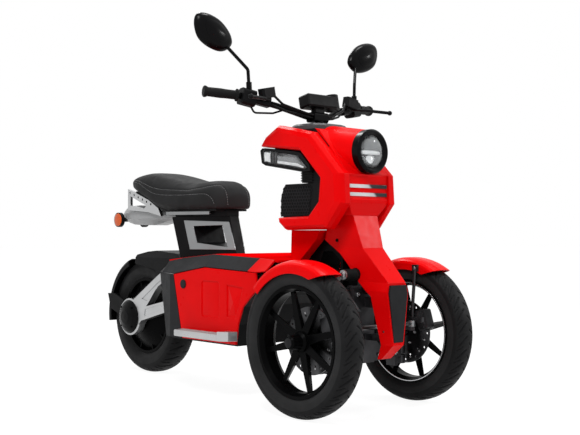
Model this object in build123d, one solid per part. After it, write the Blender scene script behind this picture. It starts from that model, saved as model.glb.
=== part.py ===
"""Three-wheeled electric scooter: two steered wheels in front, a hub motor wheel behind.

Millimetres, +X forward, +Y left, +Z up. Everything is drawn with the rear axle above x = 0 and
the ground at z = 0. Places at the front are measured from the front axle with ahead() and line_ahead().
save() then moves each piece so that the middle of the whole length is at x = 0.
Paired pieces are drawn on the left and mirrored to the right.
"""
from build123d import *
import math
import os

# Wheels and stance
WHEELBASE = 1234.0
TRACK = 545.0
FRONT_TYRE_R = 250.0
FRONT_TYRE_W = 88.0
FRONT_RIM_R = 176.0
REAR_TYRE_R = 245.0
REAR_TYRE_W = 114.0
REAR_RIM_R = 154.0
BEAD_SHARE = 0.31        # half the bead width as a share of the tyre width
WIDE_SHARE = 0.46        # height of the widest place as a share of the tyre section
FLANGE_H = 8.0
FLANGE_T = 5.0
SPOKES = 8
SPOKE_TURN = 14.0        # first spoke above the forward direction
AXLE_R = 10.0
RUN_GAP = 0.05           # radial clearance of every turning pin
FIT_GAP = 0.2            # clearance between fixed pieces that plug into each other
SEAT_GAP = 0.3           # clearance between pieces that lie on each other
SHELL_GAP = 0.5          # clearance between shells side by side

# Front hubs, brakes and steered knuckles
HUB_R = 34.0
HUB_IN = 36.0            # hub face inboard of the wheel plane
HUB_OUT = 62.0           # end of the hub cap outboard of the wheel plane
HUB_CAP = 12.0
DISC_R = 112.0
DISC_T = 4.0
DISC_HOLES = 12
DISC_HOLE_R = 4.0
KINGPIN_IN = 70.5        # kingpin axis inboard of the wheel plane
KINGPIN_R = 10.0
BARREL_WALL = 10.0
BARREL_H = 150.0
BOSS_H = 30.0
BOSS_GAP = 5.0
ARM_REACH = 70.0         # steering arm, ahead of the kingpin
ARM_IN = 14.0            # steering arm end inboard of the kingpin
ROD_RISE = 35.0          # track rod above the front axle
ROD_R = 8.0
ROD_EYE_R = 13.0
CALIPER = (44.0, 36.0, 72.0)
CALIPER_LEAN = 17.0
PAD_GAP = 5.0

# Front linkage
LINK_LOW = 65.0          # lower links below the front axle
LINK_HIGH = 145.0        # upper links above the front axle
LINK_PIN_R = 8.0
LINK_EYE_R = 15.0
LINK_IN = 52.0
LINK_END = 64.0          # outer link pins inboard of the kingpin
LINK_W = 40.0
LUG_T = 15.0
WEB_T = 14.0
POST_HALF = 30.0
DAMPER_R = 20.0
DAMPER_HALF = 110.0
DAMPER_RISE = 212.0      # damper above the front axle
DAMPER_AHEAD = 28.0
BELLOWS = 5

# Fenders
FENDER_GAP = 12.0
FENDER_SIDE = 10.0
FENDER_T = 4.0
FENDER_DROP = 40.0
FENDER_FROM = 55.0
FENDER_BOW = 18.0        # rise of the crown above its side walls
FENDER_STEPS = (20, 40, 58, 74)
FENDER_TO = 138.0

# Steering head
RAKE = 25.0
HEAD_Z = 966.0           # top of the cowl
CAP_T = 22.0
BAR_RISE = 26.0          # bar centre above the cap
BAR_BACK = 212.0         # bar centre behind the front axle
BAR_R = 11.0
STEM_R = 15.0
HEAD_TUBE_R = 28.0
HEAD_TUBE_UP = 6.0
HEAD_LOW_Z = 536.0
STEM_LOW_Z = 506.0
GRIP_R = 17.0
MIRROR_T = 34.0

# Head shells
CHEEK_IN = 97.0
CHEEK_STEP = 121.0
CHEEK_OUT = 141.0
LAMP_Z = 879.0
LAMP_AHEAD = 32.0
LAMP_R = 76.0
LENS_R = 55.0
LAMP_DEPTH = 32.0
BAR_LIGHT_DROP = (146.0, 118.0)   # light bars below the lamp centre
BAR_LIGHT_HALF = 92.0
BAR_LIGHT_H = 12.0
BAR_LIGHT_T = 9.0
NOSE_AHEAD = 41.0
FACE_STEP = 5.0
SIDE_LAMP_IN = 120.0
SIDE_LAMP_OUT = 134.0
LENS_PROUD = 2.0

# Body box
DECK_HALF = 186.0
DECK_T = 8.0
DECK_REAR = 300.0
DECK_REAR_Z = 497.0
BODY_HALF = 231.0
PANEL_T = 7.0
PANEL_LOW = 203.0
POCKET = 3.0
TRIM_PROUD = 1.0
BELLY_Z = 197.0
BELLY_T = 8.0
SPINE_HALF = 50.0
BACKBONE_H = 32.0
BACKBONE_GAP = 3.0
LINER_T = 6.0
BIN_Z = 661.0
BIN_WALL = 4.0
COLUMN_HALF = 88.0
COLUMN_TOP = 612.0
STEP_W = 54.0
STEP_Z = 240.0
STEP_T = 24.0
STEP_RISE = 10.0
BATTERY_SIDE = 33.0
BATTERY_TOP = 430.0
CHARGE_R = 17.0
SPINE_WALL = 4.0
INSERT_T = 9.5
INSERT_AHEAD = 164.5     # back of the spine insert ahead of the front axle

# Seat and pillar
PILLAR_REAR_HALF = 100.0
PILLAR_FRONT_HALF = 22.0
PILLAR_TOP = 668.0
TRIM_T = 3.0
SEAT_RISE = 29.0         # seat base above the pillar
PAN_T = 8.0
PAN_HALF = 78.0
RAIL = (8.0, 13.0)       # seat rail width and height
TAIL_HALF = 61.7
STRUT_T = 12.0
REFLECTOR_R = 32.0

# Rear end
SWING_SIDE = 41.0        # swingarm beyond the rear tyre's side
SWING_T = 34.0
SWING_RING_R = 78.0
REAR_AXLE_R = 12.0
CAP_R = 71.0
CAP_H = 26.0
PIVOT = (335.0, 330.0)
STAY = (325.0, 460.0)
PIVOT_R = 16.0
STAY_R = 12.0
GUARD_GAP = 11.0
GUARD_SIDE = 23.0
HUGGER_GAP = 12.0
HUGGER_T = 5.0
HUGGER_SIDE = 21.0
MOTOR_RIBS = 10
FIN_HALF = 42.0

WHEEL_Y = TRACK / 2
KINGPIN_Y = WHEEL_Y - KINGPIN_IN
BARREL_R = KINGPIN_R + BARREL_WALL
FRONT_AXLE_Z = FRONT_TYRE_R
ROD_Z = FRONT_AXLE_Z + ROD_RISE
LINK_Z = (FRONT_AXLE_Z - LINK_LOW, FRONT_AXLE_Z + LINK_HIGH)
LINK_OUT = KINGPIN_Y - LINK_END
FENDER_R = FRONT_TYRE_R + FENDER_GAP
FENDER_HALF = FRONT_TYRE_W / 2 + FENDER_SIDE
FENDER_SKIRT = FENDER_R - FENDER_DROP
SWING_IN = REAR_TYRE_W / 2 + SWING_SIDE
SWING_OUT = SWING_IN + SWING_T
HUGGER_R = REAR_TYRE_R + HUGGER_GAP
HUGGER_HALF = REAR_TYRE_W / 2 + HUGGER_SIDE
REAR_REACH = HUGGER_R + HUGGER_T
BAR_X = WHEELBASE - BAR_BACK
BAR_Z = HEAD_Z + CAP_T + BAR_RISE
LAMP_X = WHEELBASE + LAMP_AHEAD
NOSE_X = WHEELBASE + NOSE_AHEAD
INSERT_BACK = WHEELBASE + INSERT_AHEAD
BAR_LIGHT_Z = [LAMP_Z - drop for drop in BAR_LIGHT_DROP]
SEAT_BASE_Z = PILLAR_TOP + SEAT_RISE
BACKBONE_TOP = DECK_REAR_Z - DECK_T - BACKBONE_GAP
BACKBONE_LOW = BACKBONE_TOP - BACKBONE_H
INSIDE = BODY_HALF - PANEL_T - SHELL_GAP
X_MID = (WHEELBASE + FRONT_TYRE_R - REAR_REACH) / 2


def ahead(x):
    """Place along X measured from the front axle."""
    return WHEELBASE + x


def line_ahead(points):
    return [(ahead(x), z) for x, z in points]


def save(name, *shapes):
    """Write the shapes of one node, moved so that the whole length is centred on x = 0."""
    solids = [s.moved(Location((-X_MID, 0, 0))) for shape in shapes for s in shape.solids()]
    shape = solids[0] if len(solids) == 1 else Compound(children=solids)
    export_step(shape, f"parts/{name}.step")


def both(shape):
    """The left piece and its mirrored right one."""
    return [shape, mirror(shape, about=Plane.XZ)]


def save_sides(name, shape):
    """One node for the left piece and one for the right."""
    for side, piece in zip(("left", "right"), both(shape)):
        save(f"{name}_{side}", piece)


def across(points):
    """Half an outline of (y, z) points and its mirrored half, as one closed line."""
    return points + [(-y, z) for y, z in reversed(points)]


def outline(points):
    return make_face(Polyline(*points, close=True))


def station(x):
    """Plane across the vehicle, its own x along Y and its own y along Z."""
    return Plane((x, 0, 0), x_dir=(0, 1, 0), z_dir=(1, 0, 0))


def side_plane(y):
    """Plane along the vehicle, its own x along X and its own y along Z."""
    return Plane((0, y, 0), x_dir=(1, 0, 0), z_dir=(0, -1, 0))


def prism(points, y0, y1):
    """Solid with the side view (x, z) points between two lengthwise planes."""
    return extrude(side_plane(y0) * outline(points), amount=y1 - y0, dir=(0, 1, 0))


def slab(points, z0, z1):
    """Solid with the plan (x, y) points between two heights."""
    return extrude(Plane((0, 0, z0)) * outline(points), amount=z1 - z0)


def cross(points, x0, x1):
    """Solid with the front view (y, z) points between two stations."""
    return extrude(station(x0) * outline(points), amount=x1 - x0)


def block(x0, x1, y0, y1, z0, z1):
    return Pos((x0 + x1) / 2, (y0 + y1) / 2, (z0 + z1) / 2) * Box(x1 - x0, y1 - y0, z1 - z0)


def rod(p, q, radius):
    axis = Vector(*q) - Vector(*p)
    return Plane(p, z_dir=axis) * Cylinder(radius, axis.length,
                                           align=(Align.CENTER, Align.CENTER, Align.MIN))


def pipe(points, radius, bend):
    path = FilletPolyline(*points, radius=bend)
    return sweep(Plane(path @ 0, z_dir=path % 0) * Circle(radius), path=path)


def turned(points, centre, sweep_deg=360.0, start_deg=0.0):
    """Solid turned about the line through centre along Y; points are (radius, y)."""
    ring = revolve(outline(points), axis=Axis.Y, revolution_arc=sweep_deg)
    return Pos(*centre) * (Rot(0, -start_deg - sweep_deg, 0) * ring)


def turned_x(points, centre):
    """Solid turned about the line through centre along X; points are (x, radius)."""
    return Pos(*centre) * revolve(outline(points), axis=Axis.X)


def lathe(points, origin, direction):
    """Solid turned about a line from origin; points are (radius, distance along the line)."""
    return Plane(origin, z_dir=direction) * revolve(Plane.XZ * outline(points), axis=Axis.Z)


def layered(sections):
    """Ruled solid through plan outlines; each section is (z, points)."""
    return loft([Plane((0, 0, z)) * outline(points) for z, points in sections], ruled=True)


def tyre(radius, width, rim_r, centre):
    half = width / 2
    height = radius - rim_r
    side = [(rim_r, BEAD_SHARE * width), (rim_r + WIDE_SHARE * height, half),
            (radius - 0.2 * height, 0.93 * half),
            (radius, 0.45 * half)]
    return turned(side + [(r, -y) for r, y in reversed(side)], centre)


def rim_ring(radius, width, rim_r, well, centre):
    """Rim with flanges that follow the foot of the tyre's side wall."""
    bead = BEAD_SHARE * width
    lean = (width / 2 - bead) / (WIDE_SHARE * (radius - rim_r))
    foot = bead + lean * FLANGE_H + FIT_GAP
    half = [(rim_r - 3, foot + FLANGE_T), (rim_r + FLANGE_H, foot + FLANGE_T), (rim_r + FLANGE_H, foot),
            (rim_r, bead + FIT_GAP)]
    inner = [(rim_r - well, bead - 8)]
    points = half + [(r, -y) for r, y in reversed(half)]
    return turned(points + [(r, -y) for r, y in inner] + inner, centre)


os.makedirs("parts", exist_ok=True)
front_left = (WHEELBASE, WHEEL_Y, FRONT_AXLE_Z)
rear_centre = (0, 0, REAR_TYRE_R)

# Front wheels, with the outside of the wheel towards +Y on the left
hub_bore = AXLE_R + RUN_GAP
bore_end = HUB_OUT - HUB_CAP
hub = turned([(0, -HUB_IN), (HUB_R, -HUB_IN), (HUB_R, 14), (HUB_R - 8, 22), (HUB_R - 12, HUB_OUT - 6),
              (HUB_R - 18, HUB_OUT), (0, HUB_OUT)], front_left)
spoke_ends = ((HUB_R - 8, 16, 25), (FRONT_RIM_R - 8, 8, 9))     # radius, half width, height of the ridge
spoke = loft([Plane((r, 0, 0), x_dir=(0, 0, 1), z_dir=(1, 0, 0)) * outline([(-half, -8), (half, -8),
                                                                            (0, ridge)])
              for r, half, ridge in spoke_ends], ruled=True)
rim = rim_ring(FRONT_TYRE_R, FRONT_TYRE_W, FRONT_RIM_R, 12, front_left) + hub
for i in range(SPOKES):
    rim += Pos(*front_left) * (Rot(0, 360 * i / SPOKES - SPOKE_TURN, 0) * spoke)
rim -= Pos(*front_left) * rod((0, -HUB_IN - 1, 0), (0, bore_end, 0), hub_bore)
disc_in = -HUB_IN - DISC_T
disc = turned([(AXLE_R + 6, disc_in), (AXLE_R + 6, -HUB_IN), (DISC_R, -HUB_IN), (DISC_R, disc_in)],
              (0, 0, 0))
for row, radius in enumerate((DISC_R - 12, DISC_R - 28)):
    hole = rod((radius, disc_in - 1, 0), (radius, 1 - HUB_IN, 0), DISC_HOLE_R)
    disc -= [Rot(0, 360 * (i + row / 2) / DISC_HOLES, 0) * hole for i in range(DISC_HOLES)]
save_sides("tyre_front", tyre(FRONT_TYRE_R, FRONT_TYRE_W, FRONT_RIM_R, front_left))
save_sides("rim_front", rim)
save_sides("disc_front", Pos(*front_left) * disc)

# Rear wheel with its ribbed hub motor
save("tyre_rear", tyre(REAR_TYRE_R, REAR_TYRE_W, REAR_RIM_R, rear_centre))
motor_half = SWING_IN - 12
motor_edge = REAR_RIM_R - 6
motor_side = [(60, motor_half), (90, motor_half - 20), (motor_edge, 28)]
motor = turned([(0, motor_half)] + motor_side + [(r, -y) for r,
                                                 y in reversed(motor_side)] + [(0, -motor_half)],
               rear_centre)
fin = block(80, motor_edge, -FIN_HALF, FIN_HALF, -3, 3)
for i in range(MOTOR_RIBS):
    motor += Pos(*rear_centre) * (Rot(0, 360 * i / MOTOR_RIBS, 0) * fin)
motor -= rod((0, -motor_half - 1, REAR_TYRE_R), (0, motor_half + 1, REAR_TYRE_R), REAR_AXLE_R + RUN_GAP)
save("rim_rear", rim_ring(REAR_TYRE_R, REAR_TYRE_W, REAR_RIM_R, 8, rear_centre) + motor)

# Knuckles: barrel on the kingpin, stub axle, steering arm, caliper bracket and fender stay
kx, ky = WHEELBASE, KINGPIN_Y
barrel_low = FRONT_AXLE_Z - BARREL_H / 2
barrel_top = FRONT_AXLE_Z + BARREL_H / 2
disc_face = WHEEL_Y + disc_in
knuckle = rod((kx, ky, barrel_low), (kx, ky, barrel_top), BARREL_R)
knuckle += rod((kx, ky, FRONT_AXLE_Z), (kx, disc_face - 5, FRONT_AXLE_Z), AXLE_R + 4)
knuckle += rod((kx, ky, FRONT_AXLE_Z), (kx, WHEEL_Y + bore_end - 2, FRONT_AXLE_Z), AXLE_R)
arm_x, arm_y = kx + ARM_REACH, ky - ARM_IN
eye_half = ROD_R + 2
knuckle += slab([(kx, ky + 14), (kx, ky - 12), (arm_x, arm_y - 9), (arm_x + 12, arm_y),
                 (arm_x, arm_y + 11)],
                ROD_Z - eye_half - 14, ROD_Z - eye_half - SEAT_GAP)
caliper_r = DISC_R - 12
caliper_z = ROD_Z + 12
caliper_x = kx + math.sqrt(caliper_r ** 2 - (caliper_z - FRONT_AXLE_Z) ** 2)
knuckle += slab([(kx, ky + 16), (kx, ky), (caliper_x + 7, ky + 8), (caliper_x + 17, ky + 20)], ROD_Z + 2,
                ROD_Z + 22)
stay_y = WHEEL_Y - FENDER_HALF
stay_z = FRONT_AXLE_Z + FENDER_SKIRT + 6
knuckle += pipe([(kx + 52, ky + 10, ROD_Z + 12), (kx + 52, ky + 10, ROD_Z + 60),
                 (kx + 63, stay_y - 6, stay_z)], 6, 20)
knuckle += block(kx + 51, kx + 75, stay_y - 9, stay_y, stay_z - 12, stay_z + 12)
knuckle -= rod((kx, ky, barrel_low - 1), (kx, ky, barrel_top + 1), KINGPIN_R + RUN_GAP)
save_sides("knuckle", knuckle)

# Brake calipers astride the front edge of each disc, two piston caps on the inner side
disc_mid = disc_face + DISC_T / 2
caliper = fillet(Box(*CALIPER).edges().filter_by(Axis.Y), 9)
for rise in (-17, 17):
    caliper += rod((0, -CALIPER[1] / 2 - 5, rise), (0, 0, rise), 12)
caliper = Pos(caliper_x, disc_mid, caliper_z) * (Rot(0, -CALIPER_LEAN, 0) * caliper)
slot_half = DISC_T / 2 + PAD_GAP
caliper -= turned([(20, -slot_half), (DISC_R + 6, -slot_half), (DISC_R + 6, slot_half), (20, slot_half)],
                  (kx, disc_mid, FRONT_AXLE_Z))
save_sides("brake", caliper - knuckle)

# Fenders over the front tyres, their skirts cut to a point at the front
f, t, h = FENDER_R, FENDER_T, FENDER_HALF


def fender_line(half, rise):
    """Half a section of the fender: side wall and rounded crown."""
    rows = [(FENDER_SKIRT, half), (f - FENDER_BOW, half)]
    for step in FENDER_STEPS:
        turn = math.radians(step)
        rows.append((f - FENDER_BOW + rise * math.sin(turn), half * math.cos(turn) ** 0.8))
    return rows


crown = fender_line(h, FENDER_BOW + t)
under = fender_line(h - t, FENDER_BOW)
fender = turned(crown + [(r, -y) for r, y in reversed(crown)] + [(r, -y) for r, y in under] + under[::-1],
                front_left, FENDER_TO - FENDER_FROM, FENDER_FROM)
tip = math.radians(FENDER_FROM)
tip_x = kx + (f + t) * math.cos(tip)
tip_z = FRONT_AXLE_Z + (f + t) * math.sin(tip)
cut = [(tip_x + 2, tip_z + 6), (kx + 80, FRONT_AXLE_Z + 204), (kx + 60, FRONT_AXLE_Z + 190),
       (tip_x + 30, FRONT_AXLE_Z + 150)]
save_sides("fender", fender - prism(cut, WHEEL_Y - h - 1, WHEEL_Y + h + 1))

# Track rod joining the two steering arms, with an eye over each arm
track_rod = rod((arm_x, -arm_y, ROD_Z), (arm_x, arm_y, ROD_Z), ROD_R)
for side in (1, -1):
    track_rod += Pos(arm_x, side * arm_y, ROD_Z) * Cylinder(ROD_EYE_R, 2 * eye_half)
save("track_rod", track_rod)

# Uprights: a waisted web inboard of each knuckle with two bosses, the kingpin and the lugs of the links
half_w = LINK_W / 2
web_in = LINK_OUT + LINK_EYE_R + 1
boss_low = barrel_low - BOSS_GAP - BOSS_H
boss_top = barrel_top + BOSS_GAP
side = [(half_w + 1, LINK_Z[1] + 18), (half_w + 1, LINK_Z[1] - 20), (14, LINK_Z[1] - 45),
        (14, LINK_Z[0] + 45),
        (half_w + 1, LINK_Z[0] + 20), (half_w + 1, barrel_low - 40)]
web = [(kx + x, z) for x, z in side] + [(kx - x, z) for x, z in reversed(side)]
upright = prism(web, web_in, web_in + WEB_T)
for z0 in (boss_low, boss_top):
    upright += rod((kx, ky, z0), (kx, ky, z0 + BOSS_H), BARREL_R)
    upright += block(kx - 16, kx + 16, web_in + 6, ky, z0, z0 + BOSS_H)
upright += rod((kx, ky, boss_low), (kx, ky, boss_top + BOSS_H), KINGPIN_R)
for z in LINK_Z:
    for x0 in (kx - half_w - LUG_T, kx + half_w):
        upright += block(x0, x0 + LUG_T, LINK_OUT - 16, web_in + WEB_T, z - 16, z + 16)
    upright += rod((kx - half_w - LUG_T - 3, LINK_OUT, z), (kx + half_w + LUG_T + 3, LINK_OUT, z),
                   LINK_PIN_R)
save("uprights", *both(upright))

# Link arms between the pillar and the uprights, waisted between their eyes
links = []
for z in LINK_Z:
    mid = (LINK_IN + LINK_OUT) / 2
    arm = cross([(LINK_IN, z + 12), (mid, z + 8), (LINK_OUT, z + 12), (LINK_OUT, z - 12), (mid, z - 8),
                 (LINK_IN, z - 12)],
                kx - half_w + 1, kx + half_w - 1)
    for y in (LINK_IN, LINK_OUT):
        arm += rod((kx - half_w + 1, y, z), (kx + half_w - 1, y, z), LINK_EYE_R)
    for y in (LINK_IN, LINK_OUT):
        arm -= rod((kx - half_w, y, z), (kx + half_w, y, z), LINK_PIN_R + RUN_GAP)
    links += both(arm)
save("link_arms", *links)

# Front pillar: core, two flanges that carry the link pins, brackets for the nose and the damper
pillar_rear = kx - half_w - LUG_T
pillar_front = kx + half_w + LUG_T
damper_x, damper_z = kx + DAMPER_AHEAD, FRONT_AXLE_Z + DAMPER_RISE
post = block(pillar_rear, pillar_front, -POST_HALF, POST_HALF, LINK_Z[0] - 24, LINK_Z[1] + 26)
wing = LINK_IN + 20
flange = across([(wing, LINK_Z[1] + 20), (wing, LINK_Z[1] - 18), (POST_HALF + 2, LINK_Z[1] - 60),
                 (POST_HALF + 2, LINK_Z[0] + 60), (wing, LINK_Z[0] + 18), (wing, LINK_Z[0] - 20)])
for x0 in (pillar_rear, pillar_front - LUG_T):
    post += cross(flange, x0, x0 + LUG_T)
for z in LINK_Z:
    for y in (-LINK_IN, LINK_IN):
        post += rod((pillar_rear, y, z), (pillar_front + 2, y, z), LINK_PIN_R)
post += block(damper_x - 26, damper_x + 26, -16, 16, LINK_Z[1], damper_z + DAMPER_R + 6)
INSERT_FEET = ((FRONT_AXLE_Z - 10, 22, 12), (FRONT_AXLE_Z + 100, 35, 14))     # low z, height, half width
for z, high, half in INSERT_FEET:
    post += block(pillar_front - 5, INSERT_BACK, -half, half, z, z + high)
post -= rod((damper_x, -40, damper_z), (damper_x, 40, damper_z), DAMPER_R)
save("front_pillar", post)

# Damper across the pillar, with bellows at both ends
bellows = [(DAMPER_R, DAMPER_HALF - 48)]
for i in range(BELLOWS):
    y = DAMPER_HALF - 44 + 8 * i
    bellows += [(DAMPER_R - 5, y), (DAMPER_R, y + 4)]
bellows += [(DAMPER_R - 6, DAMPER_HALF), (0, DAMPER_HALF)]
save("front_damper", turned([(r, -y) for r, y in reversed(bellows)] + bellows, (damper_x, 0, damper_z)))

# Steering axis: a line through the handlebar centre, leaning back by the rake
slope = math.tan(math.radians(RAKE))


def axis_at(z):
    return (BAR_X + (BAR_Z - z) * slope, 0.0, z)


# Main frame: backbone under the deck, gusset and head tube in front, rear bracket with two cross tubes
DECK_LINE = [(DECK_REAR, DECK_REAR_Z), (372, DECK_REAR_Z), (461, 506),
             (674, 524)] + line_ahead([(-274, 513), (-218, 507)])
deck_front = DECK_LINE[-1][0]
COLUMN_LOW, COLUMN_HIGH = line_ahead([(-210, 505), (-126, 580)])
elbow = [(380, BACKBONE_TOP), (380, BACKBONE_LOW)] + line_ahead([(-282, BACKBONE_LOW), (-174, 335)])
elbow += [(pillar_rear, 335), (pillar_rear, 528), (ahead(-84), 566), COLUMN_HIGH, COLUMN_LOW]
frame = prism(elbow + line_ahead([(-216, 494), (-274, BACKBONE_TOP)]), -SPINE_HALF, SPINE_HALF)
frame_window = line_ahead([(-160, 462), (-62, 432), (-46, 440), (-46, 506), (-88, 540), (-130, 538)])
frame -= prism(frame_window, -SPINE_HALF - 10, SPINE_HALF + 10)
frame += prism(line_ahead([(-84, 560), (-44, 526), (16, 548), (2, 600), (-69, 600)]), -40, 40)
frame += prism([(DECK_REAR, BACKBONE_TOP), (306, 310), (362, 310), (390, BACKBONE_LOW),
                (390, BACKBONE_TOP)],
               -SPINE_HALF, SPINE_HALF)
for (x, z), radius in ((PIVOT, PIVOT_R), (STAY, STAY_R)):
    frame += rod((x, -SWING_OUT - 4, z), (x, SWING_OUT + 4, z), radius)
frame += rod(axis_at(HEAD_LOW_Z), axis_at(HEAD_Z + HEAD_TUBE_UP), HEAD_TUBE_R)
frame -= rod(axis_at(HEAD_LOW_Z - 60), axis_at(HEAD_Z + HEAD_TUBE_UP + 30), STEM_R + RUN_GAP)
save("main_frame", frame)

# Deck tapering at the rear, with the neck column on its front end
deck_low = [(x, z - DECK_T) for x, z in DECK_LINE]
deck = prism(DECK_LINE + deck_low[::-1], -DECK_HALF, DECK_HALF)
DECK_TAPER = 76.0
deck_half_rear = DECK_HALF - DECK_TAPER
deck &= slab([(DECK_REAR, -deck_half_rear), (372, -DECK_HALF), (deck_front, -DECK_HALF),
              (deck_front, DECK_HALF),
              (372, DECK_HALF), (DECK_REAR, deck_half_rear)], 400, 600)
column = prism(line_ahead([(-258, 503), (-254, COLUMN_TOP), (-106, COLUMN_TOP)]) + [COLUMN_HIGH,
                                                                                    COLUMN_LOW],
               -COLUMN_HALF, COLUMN_HALF)
save("deck_shell", deck + column)

# Dark shoulder strips between deck and panels
# Columns: x, z of the inner and of the outer edge, inner edge inside the deck's, outer inside the body's
STRIP = [(340, 490, 449, DECK_TAPER * 32 / 72, 24), (372, 492, 449, 0, 12), (461, 505, 446, 0, 0),
         (657, 522, 477, 0, 0),
         (ahead(-284), 512, 465, 0, 0), (ahead(-234), 508, 470, 0, 0)]
sections = []
for x, high, low, deck_inset, body_inset in STRIP:
    y_in = DECK_HALF + SHELL_GAP - deck_inset
    y_out = BODY_HALF - body_inset
    sections.append(station(x) * outline([(y_in, high), (y_out + TRIM_PROUD, low),
                                          (y_out - PANEL_T, low - 2), (y_in, high - 9)]))
strip = loft(sections, ruled=True)
strip_end = slab([(ahead(-296), DECK_HALF - 40), (ahead(-336), BODY_HALF + 20),
                  (ahead(-100), BODY_HALF + 20), (ahead(-100), DECK_HALF - 40)], 300, 600)

# Side panels with the front wheel arch under the strips, each with two sunk fields
panel_top = [(x, low - 2 - SEAT_GAP) for x, high, low, deck_inset, body_inset in STRIP[2:5]]
ARCH = line_ahead([(-393, PANEL_LOW), (-381, 275), (-354, 340), (-315, 374)])
band_foot = 518.0
panel = prism(panel_top + line_ahead([(-276, 404)]) + ARCH[::-1] + [(band_foot, PANEL_LOW)],
              BODY_HALF - PANEL_T, BODY_HALF)
panel = chamfer(panel.faces().sort_by(Axis.Y)[-1].edges(), 2)
FIELDS = [
    line_ahead([(-594, 300), (-594, 417), (-586, 425), (-497, 425), (-489, 417), (-489, 300), (-497, 292),
                (-586, 292)]),
    line_ahead([(-444, 300), (-444, 415), (-354, 408), (-372, 352), (-396, 300)]),
]
for field in FIELDS:
    panel -= prism(field, BODY_HALF - POCKET, BODY_HALF + 1)
save("side_panels", *both(panel), *both(strip & strip_end))

# Rear corner trims that wrap inwards behind the panels, and the round charging cap on the right
corner_y = BODY_HALF + TRIM_PROUD
corner = prism([(338, 446.7), (STRIP[2][0] - SEAT_GAP, panel_top[0][1]), (band_foot - SEAT_GAP, PANEL_LOW),
                (404, PANEL_LOW)],
               BODY_HALF - 60, corner_y)
corner &= slab([(330, corner_y - 27), (440, corner_y), (530, corner_y), (530, BODY_HALF - PANEL_T),
                (441, BODY_HALF - PANEL_T), (330, corner_y - 35)], 150, 500)
charge_cap = lathe([(0, 0), (CHARGE_R, 0), (CHARGE_R, 3), (CHARGE_R - 3, 5), (0, 5)],
                   (526, -BODY_HALF, 408), (0, -1, 0))
save("side_trims", *both(strip - strip_end), *both(corner), charge_cap)

# Underbody tray: floor, arch liner in front and rear wall
liner = ARCH + line_ahead([(-289, 408), (-289, BACKBONE_LOW)])
tray = prism(liner + [(x - LINER_T, z) for x, z in reversed(liner)], -INSIDE, INSIDE)
tray += block(444, ARCH[0][0], -INSIDE, INSIDE, BELLY_Z, BELLY_Z + BELLY_T)
rear_wall_half = INSIDE - 12
tray += prism([(440, BELLY_Z), (447, BELLY_Z), (418, 438), (410, 438)], -rear_wall_half, rear_wall_half)
save("underbody", tray)
battery_half = INSIDE - BATTERY_SIDE
save("battery_pack", block(480, ahead(-412), -battery_half, battery_half, BELLY_Z + BELLY_T, BATTERY_TOP))

# Footboards on the lower edge of the side panels, with two grooves and a raised front end
step_out = BODY_HALF + STEP_W
step_front = [(ahead(-434), step_out), (ahead(-399), step_out - 23), (ahead(-384), BODY_HALF)]
board = slab([(524, BODY_HALF), (540, step_out)] + step_front, STEP_Z - STEP_T, STEP_Z)
board += slab([(ahead(-434), BODY_HALF)] + step_front, STEP_Z - STEP_T, STEP_Z + STEP_RISE)
board = chamfer(board.edges().filter_by(Axis.X).group_by(Axis.Y)[-1], 4)
for groove in (11, STEP_W - 13):
    board -= block(545, ahead(-440), BODY_HALF + groove - 3, BODY_HALF + groove + 3, STEP_Z - 3, STEP_Z + 1)
save("footboards", *both(board))

# Seat pillar: a wedge narrow in front, leaning back, with an opening right across
PILLAR_FOOT = 517.0
PILLAR_X = ((322, 268), (590, 548))     # rear and front edge, at the foot and at the top


def wedge(extra, z_low, z_top):
    rows = []
    for z in (z_low, z_top):
        share = (PILLAR_TOP - z) / (PILLAR_TOP - PILLAR_FOOT)
        rear, nose = [top + (foot - top) * share for foot, top in PILLAR_X]
        rows.append((z, [(rear, -PILLAR_REAR_HALF - extra), (nose, -PILLAR_FRONT_HALF - extra),
                         (nose, PILLAR_FRONT_HALF + extra), (rear, PILLAR_REAR_HALF + extra)]))
    return layered(rows)


WINDOW = [(380, 630), (518, 633), (549, 546), (402, 563)]
FRAME = [(331, 653), (548, 646), (586, 536), (372, 536)]
below_deck = prism(DECK_LINE + [(deck_front, 400), (DECK_REAR, 400)], -300, 300)
hollow = prism(WINDOW, -200, 200)
save("seat_pillar", wedge(0, 480, PILLAR_TOP) - below_deck - hollow)

# Seat and the pan under it; columns: x, half width, bottom and top above the seat base
SEAT = [(-87, 68, 108, 143), (-30, 100, 85, 159), (60, 122, 55, 165), (120, 127, 25, 165),
        (200, 130, 2, 151),
        (300, 130, 0, 131), (380, 128, 0, 114), (460, 122, 0, 115), (530, 105, 0, 113), (575, 78, 2, 93),
        (598, 45, 9, 59)]
sections = []
for x, half, low, high in SEAT:
    rise = high - low
    rim_line = [(0.82 * half, low), (half, low + 0.3 * rise), (0.97 * half, low + 0.6 * rise),
                (0.86 * half, low + 0.84 * rise),
                (0.55 * half, high)]
    sections.append(station(x) * outline(across([(y, SEAT_BASE_Z + z) for y, z in rim_line])))
save("seat", loft(sections, ruled=True))
pan_line = [(x, SEAT_BASE_Z + low) for x, half, low, high in SEAT[1:9]]
pan_low = SEAT_BASE_Z - PAN_T
pan = prism(pan_line + [(x, z - PAN_T) for x, z in reversed(pan_line)], -PAN_HALF, PAN_HALF)
pan += slab([(275, -88), (540, -30), (540, 30), (275, 88)], PILLAR_TOP, pan_low + 2)
save("seat_pan", pan)

# Frames around the pillar's opening, and the rails under the seat
trim = (wedge(TRIM_T, 480, PILLAR_TOP) - wedge(0, 470, PILLAR_TOP + 10)) & prism(FRAME, -200, 200)
rail_top = pan_low - SEAT_GAP
rail = slab([(234, 98), (471, 58), (471, 58 + RAIL[0]), (234, 98 + RAIL[0])], rail_top - RAIL[1], rail_top)
save("pillar_trims", trim - hollow, *both(rail))

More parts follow.
